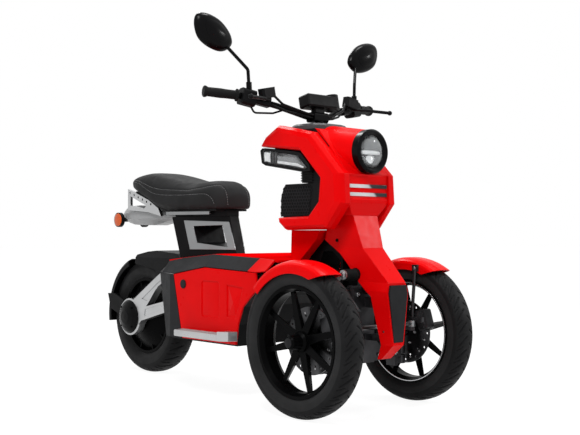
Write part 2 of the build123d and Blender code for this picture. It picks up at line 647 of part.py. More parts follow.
# Tail unit under the rear of the seat; columns: x, share of the half width, bottom, shoulder and top
TAIL = [(-205, 0.45, 662, 674, 698), (-160, 0.75, 648, 666, 712), (-110, 0.92, 639, 664, 720),
        (-40, 1.0, 636, 662, 722), (46, 1.0, 635, 662, 714), (150, 1.0, 652, 664, 690),
        (268, 0.85, 658, 664, 680)]
sections = [station(x) * outline(across([(0.55 * share * TAIL_HALF, low), (share * TAIL_HALF, mid),
                                         (share * TAIL_HALF, mid + 0.5 * (top - mid)),
                                         (0.8 * share * TAIL_HALF, top)]))
            for x, share, low, mid, top in TAIL]
tail = loft(sections, ruled=True)
save("tail_unit", tail)
strut_in = TAIL_HALF + SEAT_GAP
strut = prism([(-100, 702), (-100, 794), (-40, 776), (60, 742), (130, 706), (150, 672), (60, 690)],
              strut_in, strut_in + STRUT_T)
strut -= prism([(-80, 722), (-80, 762), (40, 719), (28, 706)], strut_in - 1, strut_in + STRUT_T + 1)
for i in range(6):
    hole_x, hole_z = -84 + 32 * i, 777 - 10.5 * i
    strut -= rod((hole_x, strut_in - 1, hole_z), (hole_x, strut_in + STRUT_T + 1, hole_z), 5)
save("tail_bracket", *both(strut))
stalk = rod((-180, 20, 662), (-180, 60, 660), 10)
reflector = rod((-180, 58, 660), (-180, 74, 660), REFLECTOR_R)
save("tail_indicators", *both(stalk + reflector - tail))

# Swingarm: hub ring, two arms with sunk fields to the frame tubes, and the fixed axle
ring_disc = turned([(0, SWING_IN), (0, SWING_OUT), (SWING_RING_R - 4, SWING_OUT),
                    (SWING_RING_R, SWING_OUT - 4),
                    (SWING_RING_R, SWING_IN)], rear_centre)
arm_low = prism([(30, REAR_TYRE_R + 55), (110, REAR_TYRE_R + 47), (252, 322), (PIVOT[0], PIVOT[1] + 14),
                 (PIVOT[0] + 4, PIVOT[1] - 24), (266, 279), (89, REAR_TYRE_R - 12),
                 (40, REAR_TYRE_R - 60)], SWING_IN, SWING_OUT)
arm_top = prism([(20, REAR_TYRE_R + 67), (204, 422), (STAY[0] - 12, STAY[1] + 22),
                 (STAY[0] + 6, STAY[1] - 22), (209, 382),
                 (150, 318), (60, REAR_TYRE_R - 15)], SWING_IN, SWING_OUT)
swing = ring_disc + arm_low + arm_top
for (x, z), radius in ((PIVOT, PIVOT_R + 14), (STAY, STAY_R + 10)):
    swing += rod((x, SWING_IN, z), (x, SWING_OUT, z), radius)
SUNK = [
    [(118, 283), (246, 311), (250, 292), (112, 254)],
    [(96, 326), (204, 394), (292, 440), (294, 432), (205, 376), (136, 318)],
]
for field in SUNK:
    swing -= prism(field, SWING_OUT - POCKET, SWING_OUT + 1)
for (x, z), radius in ((PIVOT, PIVOT_R), (STAY, STAY_R)):
    swing -= rod((x, SWING_IN - 1, z), (x, SWING_OUT + 1, z), radius + RUN_GAP)
axle = rod((0, -SWING_IN - 2, REAR_TYRE_R), (0, SWING_IN + 2, REAR_TYRE_R), REAR_AXLE_R)
save("swingarm", swing + mirror(swing, about=Plane.XZ) + axle)
dome = turned([(0, SWING_OUT), (0, SWING_OUT + CAP_H), (CAP_R - 44, SWING_OUT + CAP_H - 2),
               (CAP_R - 22, SWING_OUT + CAP_H - 9), (CAP_R - 8, SWING_OUT + 9),
               (CAP_R, SWING_OUT)], rear_centre)
save("axle_caps", *both(dome))

# Rear mudguard between tyre and body, and the hugger behind the tyre
guard_half = REAR_TYRE_W / 2 + GUARD_SIDE
guard_line = [(-34, 225), (-28, 263), (40, 277), (100, 282), (257, 271)]
guard_under = [(262, 225), (205, 160), (150, 175), (111, 205)]
guard = prism([(x, REAR_TYRE_R + z) for x, z in guard_line] + [(DECK_REAR, DECK_REAR_Z),
                                                               (DECK_REAR, DECK_REAR_Z - 10)]
              + [(x, REAR_TYRE_R + z) for x, z in guard_under], -guard_half, guard_half)
shoulder_z = REAR_TYRE_R + 252
guard &= cross(across([(guard_half, 300), (guard_half, shoulder_z), (guard_half - 22, shoulder_z + 34)]),
               -60, DECK_REAR)
guard_r = REAR_TYRE_R + GUARD_GAP
well_half = REAR_TYRE_W / 2 + 9
guard -= turned([(0, -well_half), (guard_r, -well_half), (guard_r, well_half), (0, well_half)], rear_centre)
save("rear_mudguard", guard)
r, t, h = HUGGER_R, HUGGER_T, HUGGER_HALF
skin = [(r - 29, h), (r - 12, h), (r - 2, h - 7), (r + t, h - 24)]
lining = [(r - 29, h - t), (r - 13, h - t), (r - 5, h - 10), (r, h - 26)]
hugger = turned(skin + [(a, -y) for a, y in reversed(skin)] + [(a, -y) for a, y in lining] + lining[::-1],
                rear_centre, 76, 112)
bridge = prism([(-30, 282), (-150, 330), (-216, 330), (-200, 270), (-40, 215)], SWING_IN - 6, SWING_IN)
bridge += prism([(-160, 334), (-222, 334), (-204, 280), (-170, 290)], h - 1, SWING_IN)
save("rear_hugger", hugger + bridge + mirror(bridge, about=Plane.XZ))

# Nose between the cheeks: lamp tunnel above, sunk light bar face below
nose_half = CHEEK_IN - SEAT_GAP
face_x = NOSE_X - FACE_STEP
NECK_Z = 662.0
ledge = LAMP_Z - LAMP_R - 2
face_low = BAR_LIGHT_Z[0] - 11
nose_line = line_ahead([(-54, NECK_Z), (23, NECK_Z)])
nose_line += [(NOSE_X - 2, face_low - 18), (NOSE_X, face_low - 6), (face_x, face_low), (face_x, ledge - 6),
              (NOSE_X, ledge)]
nose_line += line_ahead([(28, ledge + 12), (-102, 958), (-124, HEAD_Z), (-54, 900)])
nose = prism(nose_line, -nose_half, nose_half)
tunnel_rear = Plane((ahead(-126), 0, LAMP_Z + 7), x_dir=(0, 1, 0), z_dir=(1, 0, 0)) * Circle(LAMP_R + 18)
tunnel_front = Plane((LAMP_X, 0, LAMP_Z), x_dir=(0, 1, 0), z_dir=(1, 0, 0)) * Circle(LAMP_R)
tunnel = loft([tunnel_rear, tunnel_front], ruled=True)
nose += tunnel
nose -= turned_x([(0, 0), (0, LAMP_R + FIT_GAP), (70, LAMP_R + FIT_GAP), (70, 0)], (LAMP_X, 0, LAMP_Z))
for side in (1, -1):
    nose -= cross([(side * (nose_half + 1), 705), (side * 60, 655), (side * (nose_half + 1), 655)],
                  ahead(-134), ahead(66))


def light_bar(z, front):
    return block(face_x - 6, front, -BAR_LIGHT_HALF, BAR_LIGHT_HALF, z - BAR_LIGHT_H / 2,
                 z + BAR_LIGHT_H / 2)


for z in BAR_LIGHT_Z:
    nose -= light_bar(z, face_x + 1)
head_bore = rod(axis_at(HEAD_LOW_Z), axis_at(HEAD_Z + 60), HEAD_TUBE_R + FIT_GAP)
save("nose_shell", nose - head_bore)
save("light_bars", *[light_bar(z, face_x - 6 + BAR_LIGHT_T) for z in BAR_LIGHT_Z])

# Headlamp: bezel ring with its bowl, and a domed lens
d = LAMP_DEPTH
bezel = turned_x([(0, 0), (0, LAMP_R), (d - 6, LAMP_R), (d, LAMP_R - 6), (d, LENS_R + 9), (d - 8, LENS_R),
                  (d - 12, LENS_R),
                  (8, LENS_R - 28), (8, 0)], (LAMP_X, 0, LAMP_Z))
save("headlamp_bezel", bezel)
save("headlamp_lens", turned_x([(d - 12, 0), (d - 12, LENS_R), (d - 8, LENS_R), (d - 3, LENS_R - 20),
                                (d - 1, 0)],
                               (LAMP_X, 0, LAMP_Z)))

# Cheeks: C-shaped side shells; columns: x, z of the outer edge and x, z of the raised face, from the axle
CHEEK = [
    (-109, 950, -118, 928), (41, 801, 9, 800), (47, 701, 16, 709), (-26, 615, -38, 631),
         (-238, 612, -234, 626),
    (-272, 640, -259, 642), (-276, 657, -262, 650), (-120, 661, -115, 651), (-70, 711, -60, 706),
         (-62, 789, -51, 792),
    (-162, 887, -158, 898), (-372, 914, -352, 922), (-344, 948, -334, 940), (-280, 986, -278, 962),
]
LAYERS = ((CHEEK_STEP, 0.0), (CHEEK_STEP + 0.7 * (CHEEK_OUT - CHEEK_STEP), 0.35),
          (CHEEK_OUT, 1.0))     # y, share
outer = line_ahead([(x, z) for x, z, face_dx, face_dz in CHEEK])
cheek = prism(outer, CHEEK_IN, CHEEK_STEP)
rows = [(y, line_ahead([(x + s * (fx - x), z + s * (fz - z)) for x, z, fx, fz in CHEEK])) for y,
        s in LAYERS]
cheek += loft([side_plane(y) * outline(points) for y, points in rows], ruled=True)
save("cheeks", *both(cheek - tunnel))

# Side lamps under the upper arm of each cheek
LAMP_SIDE = line_ahead([(-372, 900), (-362, 908), (-343, 908), (-174, 884), (-156, 877), (-113, 833),
                        (-110, 815), (-152, 814), (-343, 845), (-364, 855)])
LAMP_FACE = line_ahead([(-354, 899), (-178, 874), (-126, 827), (-132, 822), (-300, 848), (-346, 857)])
housing = prism(LAMP_SIDE, CHEEK_IN, SIDE_LAMP_OUT) - prism(LAMP_FACE, SIDE_LAMP_IN, SIDE_LAMP_OUT + 6)
save("side_lamp_housings", *both(housing))
save("side_lamp_lenses", *both(prism(LAMP_FACE, SIDE_LAMP_IN, SIDE_LAMP_OUT + LENS_PROUD)))

# Inner cowl behind the nose, and the storage bin in front of the rider
cowl_line = line_ahead([(-272, COLUMN_TOP + 2), (-110, COLUMN_TOP + 2), (-96, 640), (-89, NECK_Z),
                        (-54, NECK_Z), (-54, 900),
                        (-124, HEAD_Z), (-276, HEAD_Z), (-329, 930), (-344, 866), (-194, 850), (-190, 778),
                        (-132, 778),
                        (-146, BIN_Z), (-289, BIN_Z)])
save("inner_cowl", prism(cowl_line, -nose_half, nose_half) - head_bore - tunnel)
bin_half = CHEEK_IN - 3
bin_top = 776.0
storage = prism(line_ahead([(-305, BIN_Z), (-303, 729), (-290, 763), (-279, bin_top), (-134, bin_top),
                            (-148, BIN_Z)]), -bin_half, bin_half)
storage -= prism(line_ahead([(-299, BIN_Z + 5), (-298, 728), (-285, 762), (-272, bin_top + 4),
                             (-140, bin_top + 4), (-154, BIN_Z + 5)]),
                 BIN_WALL - bin_half, bin_half - BIN_WALL)
save("storage_bin", storage)

# Top cap around the stem
cap_half = [(-276, 70), (-234, 92), (-146, 84), (-127, 40)]
cap = slab([(ahead(x), -y) for x, y in cap_half] + [(ahead(x), y) for x, y in reversed(cap_half)], HEAD_Z,
           HEAD_Z + CAP_T)
cap = chamfer(cap.faces().sort_by(Axis.Z)[-1].edges(), 7)
cap -= rod(axis_at(HEAD_Z - 66), axis_at(HEAD_Z + 74), STEM_R + 6)
cap -= rod(axis_at(HEAD_Z - 66), axis_at(HEAD_Z + HEAD_TUBE_UP + 6), HEAD_TUBE_R + FIT_GAP)
save("top_cap", cap)

# Spine shell: a folded cover in front of the linkage
# Columns: z, front x and rear x from the front axle, front and rear half width beyond the frame's
SPINE = [
    (NECK_Z, 23, -84, 10, 18), (578, 50, -108, 3, 14), (551, 59, -68, 0, 11), (531, 78, -38, -1.5, 10),
    (492, 115, -2, -4, 7), (438, 166, 42, -8, 4), (408, 169, 76, 2, 5), (392, 169.5, 97, 0.5, 4),
    (231, 172, 129, -23, -12), (182, 118, 106, -26, -20),
]


def folded(rows, wall, front, rear):
    """Solid through the spine's sections, drawn in by a wall and moved at its front and rear faces."""
    sections = []
    for z, x_front, x_rear, half_front, half_rear in rows:
        corner = [(ahead(x_rear + rear), SPINE_HALF + half_rear - wall),
                  (ahead(x_front + front), SPINE_HALF + half_front - wall)]
        sections.append((z, [(x, -y) for x, y in corner] + corner[::-1]))
    return layered(sections)


core = folded([(NECK_Z + 8, 20, -84, 10, 18)] + SPINE[1:-1], SPINE_WALL, -6, -60)
shell = folded(SPINE, 0, 0, 0) - core
shell -= rod((damper_x, -120, damper_z), (damper_x, 120, damper_z), DAMPER_R + 2)
shell -= rod((ahead(139), -80, 276), (ahead(139), 80, 276), 5)
insert_half = [(SPINE_HALF - 13, 429), (SPINE_HALF - 5, 403), (SPINE_HALF - 28, 241)]
insert = cross(across(insert_half), INSERT_BACK - 2.5, INSERT_BACK + INSERT_T + 4)
save("spine_shell", shell - insert)
save("spine_insert", insert & block(INSERT_BACK, INSERT_BACK + INSERT_T, -SPINE_HALF, SPINE_HALF, 200, 500))


def at_bar(x, y, z):
    """Place measured from the centre of the bar clamp."""
    return (BAR_X + x, y, BAR_Z + z)


# Steering: bar, clamp and stem in one piece
bar_end = at_bar(-132, 408, 73)
grip_in = at_bar(-87, 292, 65)
bend = at_bar(-54, 150, 38)
half_bar = [bar_end, grip_in, bend, at_bar(0, 40, 0)]
bar = pipe(half_bar + [(x, -y, z) for x, y, z in reversed(half_bar)], BAR_R, 22)
clamp = fillet(Box(44, 68, 36).edges().filter_by(Axis.Y), 8)
bar += Pos(*at_bar(0, 0, 2)) * clamp
bar += rod(axis_at(STEM_LOW_Z), axis_at(BAR_Z), STEM_R)
save("handlebar", bar)

run = (Vector(*bar_end) - Vector(*grip_in)).normalized()
grip_from = Vector(*grip_in) + run * 8
bar_in = (Vector(*bar_end) - grip_from).length
grip_end = bar_in + 6
grip_line = [(GRIP_R + 5, 0), (GRIP_R + 5, 4), (GRIP_R - 1, 8), (GRIP_R - 1, grip_end * 0.35),
             (GRIP_R, grip_end * 0.5),
             (GRIP_R - 1, grip_end - 16), (GRIP_R + 3, grip_end - 8), (GRIP_R + 3, grip_end - 3),
             (GRIP_R, grip_end)]
bore = BAR_R + RUN_GAP
grip = lathe([(bore, 0)] + grip_line + [(0, grip_end), (0, bar_in), (bore, bar_in)], tuple(grip_from),
             tuple(run))
save("grips", *both(grip))

# Switch pods with a reservoir, a lever and its ball end
lean = (Vector(*grip_in) - Vector(*bend)).normalized()
pod_plane = Plane(tuple(Vector(*bend) + lean * 118), x_dir=(1, 0, 0), z_dir=tuple(lean))
perch_plane = Plane(tuple(Vector(*bend) + lean * 62), x_dir=(1, 0, 0), z_dir=tuple(lean))
pod = pod_plane * fillet(Box(48, 58, 52).edges().filter_by(Axis.Z), 14)
pod += perch_plane * fillet(Box(34, 30, 62).edges().filter_by(Axis.Z), 8)
pod += Pos(*at_bar(-38, 208, 76)) * (Rot(-12, 0, 0) * chamfer(Box(34, 60, 36).edges().filter_by(Axis.Z), 6))
pod += block(BAR_X - 60, BAR_X - 34, 190, 226, BAR_Z + 50, BAR_Z + 68)
lever_end = at_bar(38, 345, 44)
pod += pipe([at_bar(-47, 214, 54), at_bar(-4, 246, 50), lever_end], 6, 12)
pod += Pos(*lever_end) * Sphere(9)
pod_bore = rod(tuple(Vector(*bend) - lean * 5), grip_in, bore)
pod -= pod_bore
save("controls", *both(pod))

# Mirrors: rounded heads on bent stems, with a collar at the foot of each stem
GLASS = [(292, 258), (300, 280), (318, 302), (346, 324), (385, 339), (420, 342), (445, 332), (453, 310),
         (450, 282), (438, 256), (413, 236), (376, 222), (338, 218), (306, 232)]
glass_mid = (sum(y for y, z in GLASS) / len(GLASS), sum(z for y, z in GLASS) / len(GLASS))


def mirror_rim(x, share):
    """Egg-shaped rim of the mirror head, drawn in by a share."""
    points = [(m + share * (p - m) for p, m in zip(point, glass_mid)) for point in GLASS]
    return station(BAR_X + x) * make_face(Spline(*[(y, BAR_Z + z) for y, z in points], periodic=True))


mirror_back = -138.0
MIRROR_ROWS = ((0, 0.97), (0.15, 1.0), (0.4, 0.97), (0.75, 0.8), (1.0, 0.5))     # share of depth, size
head = loft([mirror_rim(mirror_back + depth * MIRROR_T, size) for depth, size in MIRROR_ROWS])
stem_foot = at_bar(-70, 262, 84)
stem = pipe([stem_foot, at_bar(-72, 266, 156), at_bar(mirror_back + 14, 326, 242)], 6, 20)
stem += rod(stem_foot, at_bar(-70.6, 263, 112), 10)
save("mirrors", *both(stem + head - pod))

# Dash over the clamp with a round switch at its left end
dash_tilt = Pos(*at_bar(4, 0, 56)) * Rot(0, -12, 0)
dash = dash_tilt * chamfer(Box(56, 146, 46).edges(), 5)
dash += dash_tilt * (Pos(0, 68, 4) * Cylinder(27, 54))
dash += block(BAR_X - 10, BAR_X + 14, -22, 22, BAR_Z + 20, BAR_Z + 50)
save("dash", dash)

# Control cables on the bar, from the levers and switches to the clamp; columns: radius, points on the left
CABLES = [
    (4.5, [(-38, 184, 76), (-20, 150, 40), (14, 66, 12), (16, 28, 8)]),
    (4.0, [(-62, 190, 46), (-22, 128, 17), (10, 66, 2), (12, 28, -3)]),
]
LOOP = (3.5, [(-80, -258, 46), (-74, -236, 8), (-52, -168, 10), (-38, -118, 27)])
cables = [pipe([at_bar(x, side * y, z) for x, y, z in points], radius, 16)
          for side in (1, -1) for radius, points in CABLES]
cables.append(pipe([at_bar(*point) for point in LOOP[1]], LOOP[0], 16))
pods = Compound(children=both(pod + pod_bore))
save("control_cables", *[cable - bar - pods for cable in cables])
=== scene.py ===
"""Looks of the three-wheeled electric scooter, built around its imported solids."""
import bpy
import math
import numpy as np
from mathutils import Matrix, Vector
from mathutils.bvhtree import BVHTree

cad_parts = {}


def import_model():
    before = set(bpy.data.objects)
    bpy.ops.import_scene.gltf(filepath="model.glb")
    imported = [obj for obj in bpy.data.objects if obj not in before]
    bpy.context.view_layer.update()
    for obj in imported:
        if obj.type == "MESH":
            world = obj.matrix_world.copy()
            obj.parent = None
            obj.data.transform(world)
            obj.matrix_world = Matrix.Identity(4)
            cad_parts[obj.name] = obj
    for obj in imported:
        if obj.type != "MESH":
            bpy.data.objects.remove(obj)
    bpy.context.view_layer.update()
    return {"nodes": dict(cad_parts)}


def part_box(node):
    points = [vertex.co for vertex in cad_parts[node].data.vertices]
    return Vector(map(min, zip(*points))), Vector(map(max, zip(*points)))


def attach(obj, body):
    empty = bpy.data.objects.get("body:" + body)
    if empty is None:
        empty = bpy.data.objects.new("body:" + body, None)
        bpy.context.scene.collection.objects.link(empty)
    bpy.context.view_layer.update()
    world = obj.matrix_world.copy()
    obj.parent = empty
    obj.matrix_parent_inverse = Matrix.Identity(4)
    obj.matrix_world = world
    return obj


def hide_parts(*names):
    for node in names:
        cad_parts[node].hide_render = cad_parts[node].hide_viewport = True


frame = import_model()
NODES = frame["nodes"]

# Places: millimetres from the ground under the rear axle, as in the part's source
MM = 0.001
REAR_LOW, REAR_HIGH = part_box("tyre_rear")
REAR_X = (REAR_LOW.x + REAR_HIGH.x) / 2
WHEELBASE = 1234.0
FRONT_R, FRONT_W, FRONT_RIM = 250.0, 88.0, 176.0
REAR_R, REAR_W, REAR_RIM = 245.0, 114.0, 154.0
WHEEL_Y = 272.5
BAR_X, BAR_Z = 1022.0, 1014.0
SIDES = (("left", 1), ("right", -1))


def at(x, y, z):
    """Point of the shared frame in metres from a place in millimetres."""
    return Vector((REAR_X + x * MM, y * MM, z * MM))


def ahead(x, y, z):
    """The same for a place whose x is counted from the front axle."""
    return at(WHEELBASE + x, y, z)


def even_angles(count, shift=0.0):
    """Angles around a full turn; shift is a share of the step between them."""
    return [2 * math.pi * (k + shift) / count for k in range(count)]


# Materials

PATCH_SCALE, PATCH_DETAIL = 9.0, 4.0
SMEAR_SCALE, SMEAR_DETAIL = 38.0, 5.0
TONE_FROM, TONE_TO = 0.32, 0.68
GRAIN_DETAIL, GRAIN_STRENGTH = 2.0, 0.6
EDGE_SAMPLES = 6


def link(tree, out, into):
    tree.links.new(out, into)


def object_coords(tree, scale=(1, 1, 1)):
    coords = tree.nodes.new("ShaderNodeTexCoord")
    mapping = tree.nodes.new("ShaderNodeMapping")
    mapping.inputs["Scale"].default_value = scale
    link(tree, coords.outputs["Object"], mapping.inputs["Vector"])
    return mapping.outputs["Vector"]


def noise(tree, vector, scale, detail=3.0):
    node = tree.nodes.new("ShaderNodeTexNoise")
    node.inputs["Scale"].default_value = scale
    node.inputs["Detail"].default_value = detail
    link(tree, vector, node.inputs["Vector"])
    return node.outputs["Fac"]


def cells(tree, vector, scale):
    """Distance to the edges of irregular cells."""
    node = tree.nodes.new("ShaderNodeTexVoronoi")
    node.feature = "DISTANCE_TO_EDGE"
    node.inputs["Scale"].default_value = scale
    link(tree, vector, node.inputs["Vector"])
    return node.outputs["Distance"]


def spread(tree, value, low, high, start=0.3, end=0.7):
    """Value mapped from the range start to end onto the range low to high."""
    node = tree.nodes.new("ShaderNodeMapRange")
    node.inputs["From Min"].default_value = start
    node.inputs["From Max"].default_value = end
    node.inputs["To Min"].default_value = low
    node.inputs["To Max"].default_value = high
    link(tree, value, node.inputs["Value"])
    return node.outputs["Result"]


def ramp(tree, value, stops):
    """Colour ramp through (place, colour) stops."""
    node = tree.nodes.new("ShaderNodeValToRGB")
    while len(node.color_ramp.elements) < len(stops):
        node.color_ramp.elements.new(0.5)
    for element, (place, colour) in zip(node.color_ramp.elements, stops):
        element.position = place
        element.color = (*colour, 1)
    link(tree, value, node.inputs["Fac"])
    return node.outputs["Color"]


def soft_edges(tree, radius):
    node = tree.nodes.new("ShaderNodeBevel")
    node.samples = EDGE_SAMPLES
    node.inputs["Radius"].default_value = radius
    return node.outputs["Normal"]


def bump(tree, height, strength, distance, normal):
    node = tree.nodes.new("ShaderNodeBump")
    node.inputs["Strength"].default_value = strength
    node.inputs["Distance"].default_value = distance
    link(tree, height, node.inputs["Height"])
    link(tree, normal, node.inputs["Normal"])
    return node.outputs["Normal"]


def node_material(name):
    material = bpy.data.materials.new(name)
    material.use_nodes = True
    return material, material.node_tree


def finish_of(name, colour, rough, tone, grain, grain_depth, edge, rough_spread=0.06, stretch=(1, 1, 1),
              leather=False, specular=0.5, **sockets):
    """Material with mottled colour, uneven gloss, a fine grain and softened edges."""
    material, tree = node_material(name)
    shader = tree.nodes["Principled BSDF"]
    wide = object_coords(tree)
    fine = object_coords(tree, stretch)
    dark = [c * (1 - tone) for c in colour]
    light = [min(1.0, c * (1 + tone)) for c in colour]
    patch = noise(tree, wide, PATCH_SCALE, PATCH_DETAIL)
    mottled = ramp(tree, patch, [(TONE_FROM, dark), (TONE_TO, light)])
    link(tree, mottled, shader.inputs["Base Color"])
    smear = noise(tree, fine, SMEAR_SCALE, SMEAR_DETAIL)
    gloss = spread(tree, smear, rough - rough_spread, rough + rough_spread)
    link(tree, gloss, shader.inputs["Roughness"])
    height = cells(tree, fine, grain) if leather else noise(tree, fine, grain, GRAIN_DETAIL)
    relief = bump(tree, height, GRAIN_STRENGTH, grain_depth, soft_edges(tree, edge))
    link(tree, relief, shader.inputs["Normal"])
    shader.inputs["Specular IOR Level"].default_value = specular
    for socket, value in sockets.items():
        shader.inputs[socket.replace("_", " ")].default_value = value
    return material


DULL = 0.07
BODY_RED = (0.80, 0.001, 0.002)
RED = finish_of("red_gloss", BODY_RED, 0.30, tone=0.04, grain=260.0, grain_depth=0.000012, edge=0.0035,
                rough_spread=0.03, specular=0.05)
DECK_RED = finish_of("red_satin", BODY_RED, 0.45, tone=0.04, grain=700.0, grain_depth=0.00003, edge=0.0035,
                     rough_spread=0.05, specular=0.0)
BLACK = finish_of("black_plastic", (0.005, 0.005, 0.0055), 0.44, tone=0.25, grain=900.0, grain_depth=0.00007,
                  edge=0.0015, specular=DULL)
MAT = finish_of("dark_mat", (0.017, 0.0175, 0.019), 0.50, tone=0.18, grain=1300.0, grain_depth=0.00015,
                edge=0.0020, specular=DULL)
GLOSS_BLACK = finish_of("gloss_black", (0.0025, 0.0025, 0.0028), 0.24, tone=0.2, grain=400.0,
                        grain_depth=0.00002, edge=0.0020, rough_spread=0.05, specular=DULL)
BLACK_METAL = finish_of("black_metal", (0.002, 0.002, 0.0022), 0.30, tone=0.25, grain=700.0,
                        grain_depth=0.00003, edge=0.0016, rough_spread=0.07, specular=0.03)
CAST_METAL = finish_of("cast_metal", (0.045, 0.045, 0.048), 0.42, tone=0.35, grain=420.0,
                       grain_depth=0.00012, edge=0.0014, Metallic=0.8)
SILVER = finish_of("satin_aluminium", (0.47, 0.475, 0.48), 0.34, tone=0.06, grain=420.0, grain_depth=0.00004,
                   edge=0.0016, rough_spread=0.08, stretch=(0.25, 1, 1), Metallic=1.0)
# Darker copy of the satin aluminium: painted shade on the parts that it covers
SILVER_PAINTED_SHADE = finish_of("aluminium_painted_shade", (0.26, 0.265, 0.27), 0.36, tone=0.08, grain=420.0,
                         grain_depth=0.00004, edge=0.0020, rough_spread=0.08, stretch=(0.25, 1, 1),
                         Metallic=1.0)
STEEL = finish_of("brushed_steel", (0.50, 0.50, 0.51), 0.28, tone=0.08, grain=650.0, grain_depth=0.00005,
                  edge=0.0008, Metallic=1.0)
DISC_STEEL = finish_of("disc_steel", (0.07, 0.07, 0.073), 0.36, tone=0.15, grain=650.0, grain_depth=0.00005,
                       edge=0.0010, Metallic=1.0)
GREY = finish_of("light_grey_plastic", (0.36, 0.365, 0.37), 0.36, tone=0.06, grain=800.0,
                 grain_depth=0.00005, edge=0.0030, specular=0.35)
DARK_GREY = finish_of("dark_grey_plastic", (0.060, 0.061, 0.064), 0.40, tone=0.12, grain=900.0,
                      grain_depth=0.00007, edge=0.0025, specular=0.2)
RUBBER = finish_of("tyre_rubber", (0.0105, 0.0105, 0.011), 0.52, tone=0.25, grain=520.0, grain_depth=0.00010,
                   edge=0.0006, rough_spread=0.10, specular=DULL)
SIDEWALL = finish_of("tyre_sidewall", (0.021, 0.021, 0.0215), 0.55, tone=0.18, grain=700.0,
                     grain_depth=0.00008, edge=0.0006, rough_spread=0.08, specular=DULL)
GRIP = finish_of("grip_rubber", (0.008, 0.008, 0.008), 0.62, tone=0.2, grain=360.0, grain_depth=0.0005,
                 edge=0.001, leather=True, specular=DULL)
LEATHER = finish_of("seat_leather", (0.021, 0.021, 0.0215), 0.60, tone=0.16, grain=620.0,
                    grain_depth=0.00020, edge=0.002, leather=True, specular=DULL)
THREAD = finish_of("grey_thread", (0.26, 0.26, 0.265), 0.75, tone=0.15, grain=2600.0, grain_depth=0.0001,
                   edge=0.0004, specular=DULL)
CHROME = finish_of("chrome", (0.74, 0.75, 0.76), 0.12, tone=0.04, grain=120.0, grain_depth=0.00001,
                   edge=0.0006, rough_spread=0.04, Metallic=1.0)
LAMP_CHROME = finish_of("lamp_reflector", (0.24, 0.245, 0.25), 0.20, tone=0.25, grain=160.0,
                        grain_depth=0.00002, edge=0.0006, Metallic=1.0)
BRASS = finish_of("brass", (0.62, 0.42, 0.13), 0.30, tone=0.1, grain=500.0, grain_depth=0.00003,
                  edge=0.0006, Metallic=1.0)
AMBER = finish_of("amber_lens", (0.72, 0.105, 0.010), 0.18, tone=0.06, grain=330.0, grain_depth=0.0003,
                  edge=0.001, rough_spread=0.04, leather=True, specular=0.3)
RED_LENS = finish_of("red_lens", (0.50, 0.004, 0.006), 0.16, tone=0.06, grain=300.0, grain_depth=0.0003,
                     edge=0.001, rough_spread=0.04, leather=True, specular=0.4)
WHITE_LIGHT = finish_of("white_diffuser", (0.80, 0.81, 0.82), 0.3, tone=0.04, grain=300.0,
                        grain_depth=0.0001, edge=0.0008)
GLASS = finish_of("clear_lens", (0.97, 0.98, 0.98), 0.03, tone=0.01, grain=60.0, grain_depth=0.000004,
                  edge=0.0008, rough_spread=0.015, Transmission_Weight=1.0, IOR=1.25)
MIRROR = finish_of("mirror_glass", (0.80, 0.82, 0.84), 0.04, tone=0.02, grain=60.0, grain_depth=0.000003,
                   edge=0.0005, rough_spread=0.015, Metallic=1.0)
SCREEN = finish_of("dark_screen", (0.004, 0.005, 0.006), 0.10, tone=0.3, grain=60.0, grain_depth=0.000003,
                   edge=0.0008, rough_spread=0.03, specular=0.4)

# Light bars, coloured with a painted reflection: rise of the slanted edge, range in metres that the stops
# share, and the stops across a bar
BAR_SLANT, BAR_RANGE = 0.9, (0.560, 0.800)
BAR_SMEAR, BAR_GLOSS, BAR_SPECULAR, BAR_EDGE = 60.0, (0.10, 0.2), 0.2, 0.001
BAR_GRAIN, BAR_GRAIN_STRENGTH, BAR_GRAIN_DEPTH = 420.0, 0.3, 0.00005
BAR_REFLECTION_STOPS = [(0.02, (0.62, 0.63, 0.64)), (0.34, (0.74, 0.75, 0.76)), (0.52, (0.60, 0.61, 0.62)),
             (0.575, (0.030, 0.031, 0.034)), (0.95, (0.012, 0.012, 0.013))]


def light_bar_painted_reflection():
    """Painted reflection on each bar: white on the right part, dark on the left, with a slanted edge between
    them.
    """
    material, tree = node_material("light_bar_lens_painted_reflection")
    shader = tree.nodes["Principled BSDF"]
    coords = object_coords(tree)
    split = tree.nodes.new("ShaderNodeSeparateXYZ")
    link(tree, coords, split.inputs["Vector"])
    slant = tree.nodes.new("ShaderNodeMath")
    slant.operation = "MULTIPLY_ADD"
    slant.inputs[1].default_value = BAR_SLANT
    link(tree, split.outputs["Z"], slant.inputs[0])
    link(tree, split.outputs["Y"], slant.inputs[2])
    along = spread(tree, slant.outputs[0], 0.0, 1.0, *BAR_RANGE)
    link(tree, ramp(tree, along, BAR_REFLECTION_STOPS), shader.inputs["Base Color"])
    link(tree, spread(tree, noise(tree, coords, BAR_SMEAR), *BAR_GLOSS), shader.inputs["Roughness"])
    height, edges = noise(tree, coords, BAR_GRAIN), soft_edges(tree, BAR_EDGE)
    relief = bump(tree, height, BAR_GRAIN_STRENGTH, BAR_GRAIN_DEPTH, edges)
    link(tree, relief, shader.inputs["Normal"])
    shader.inputs["Specular IOR Level"].default_value = BAR_SPECULAR
    return material


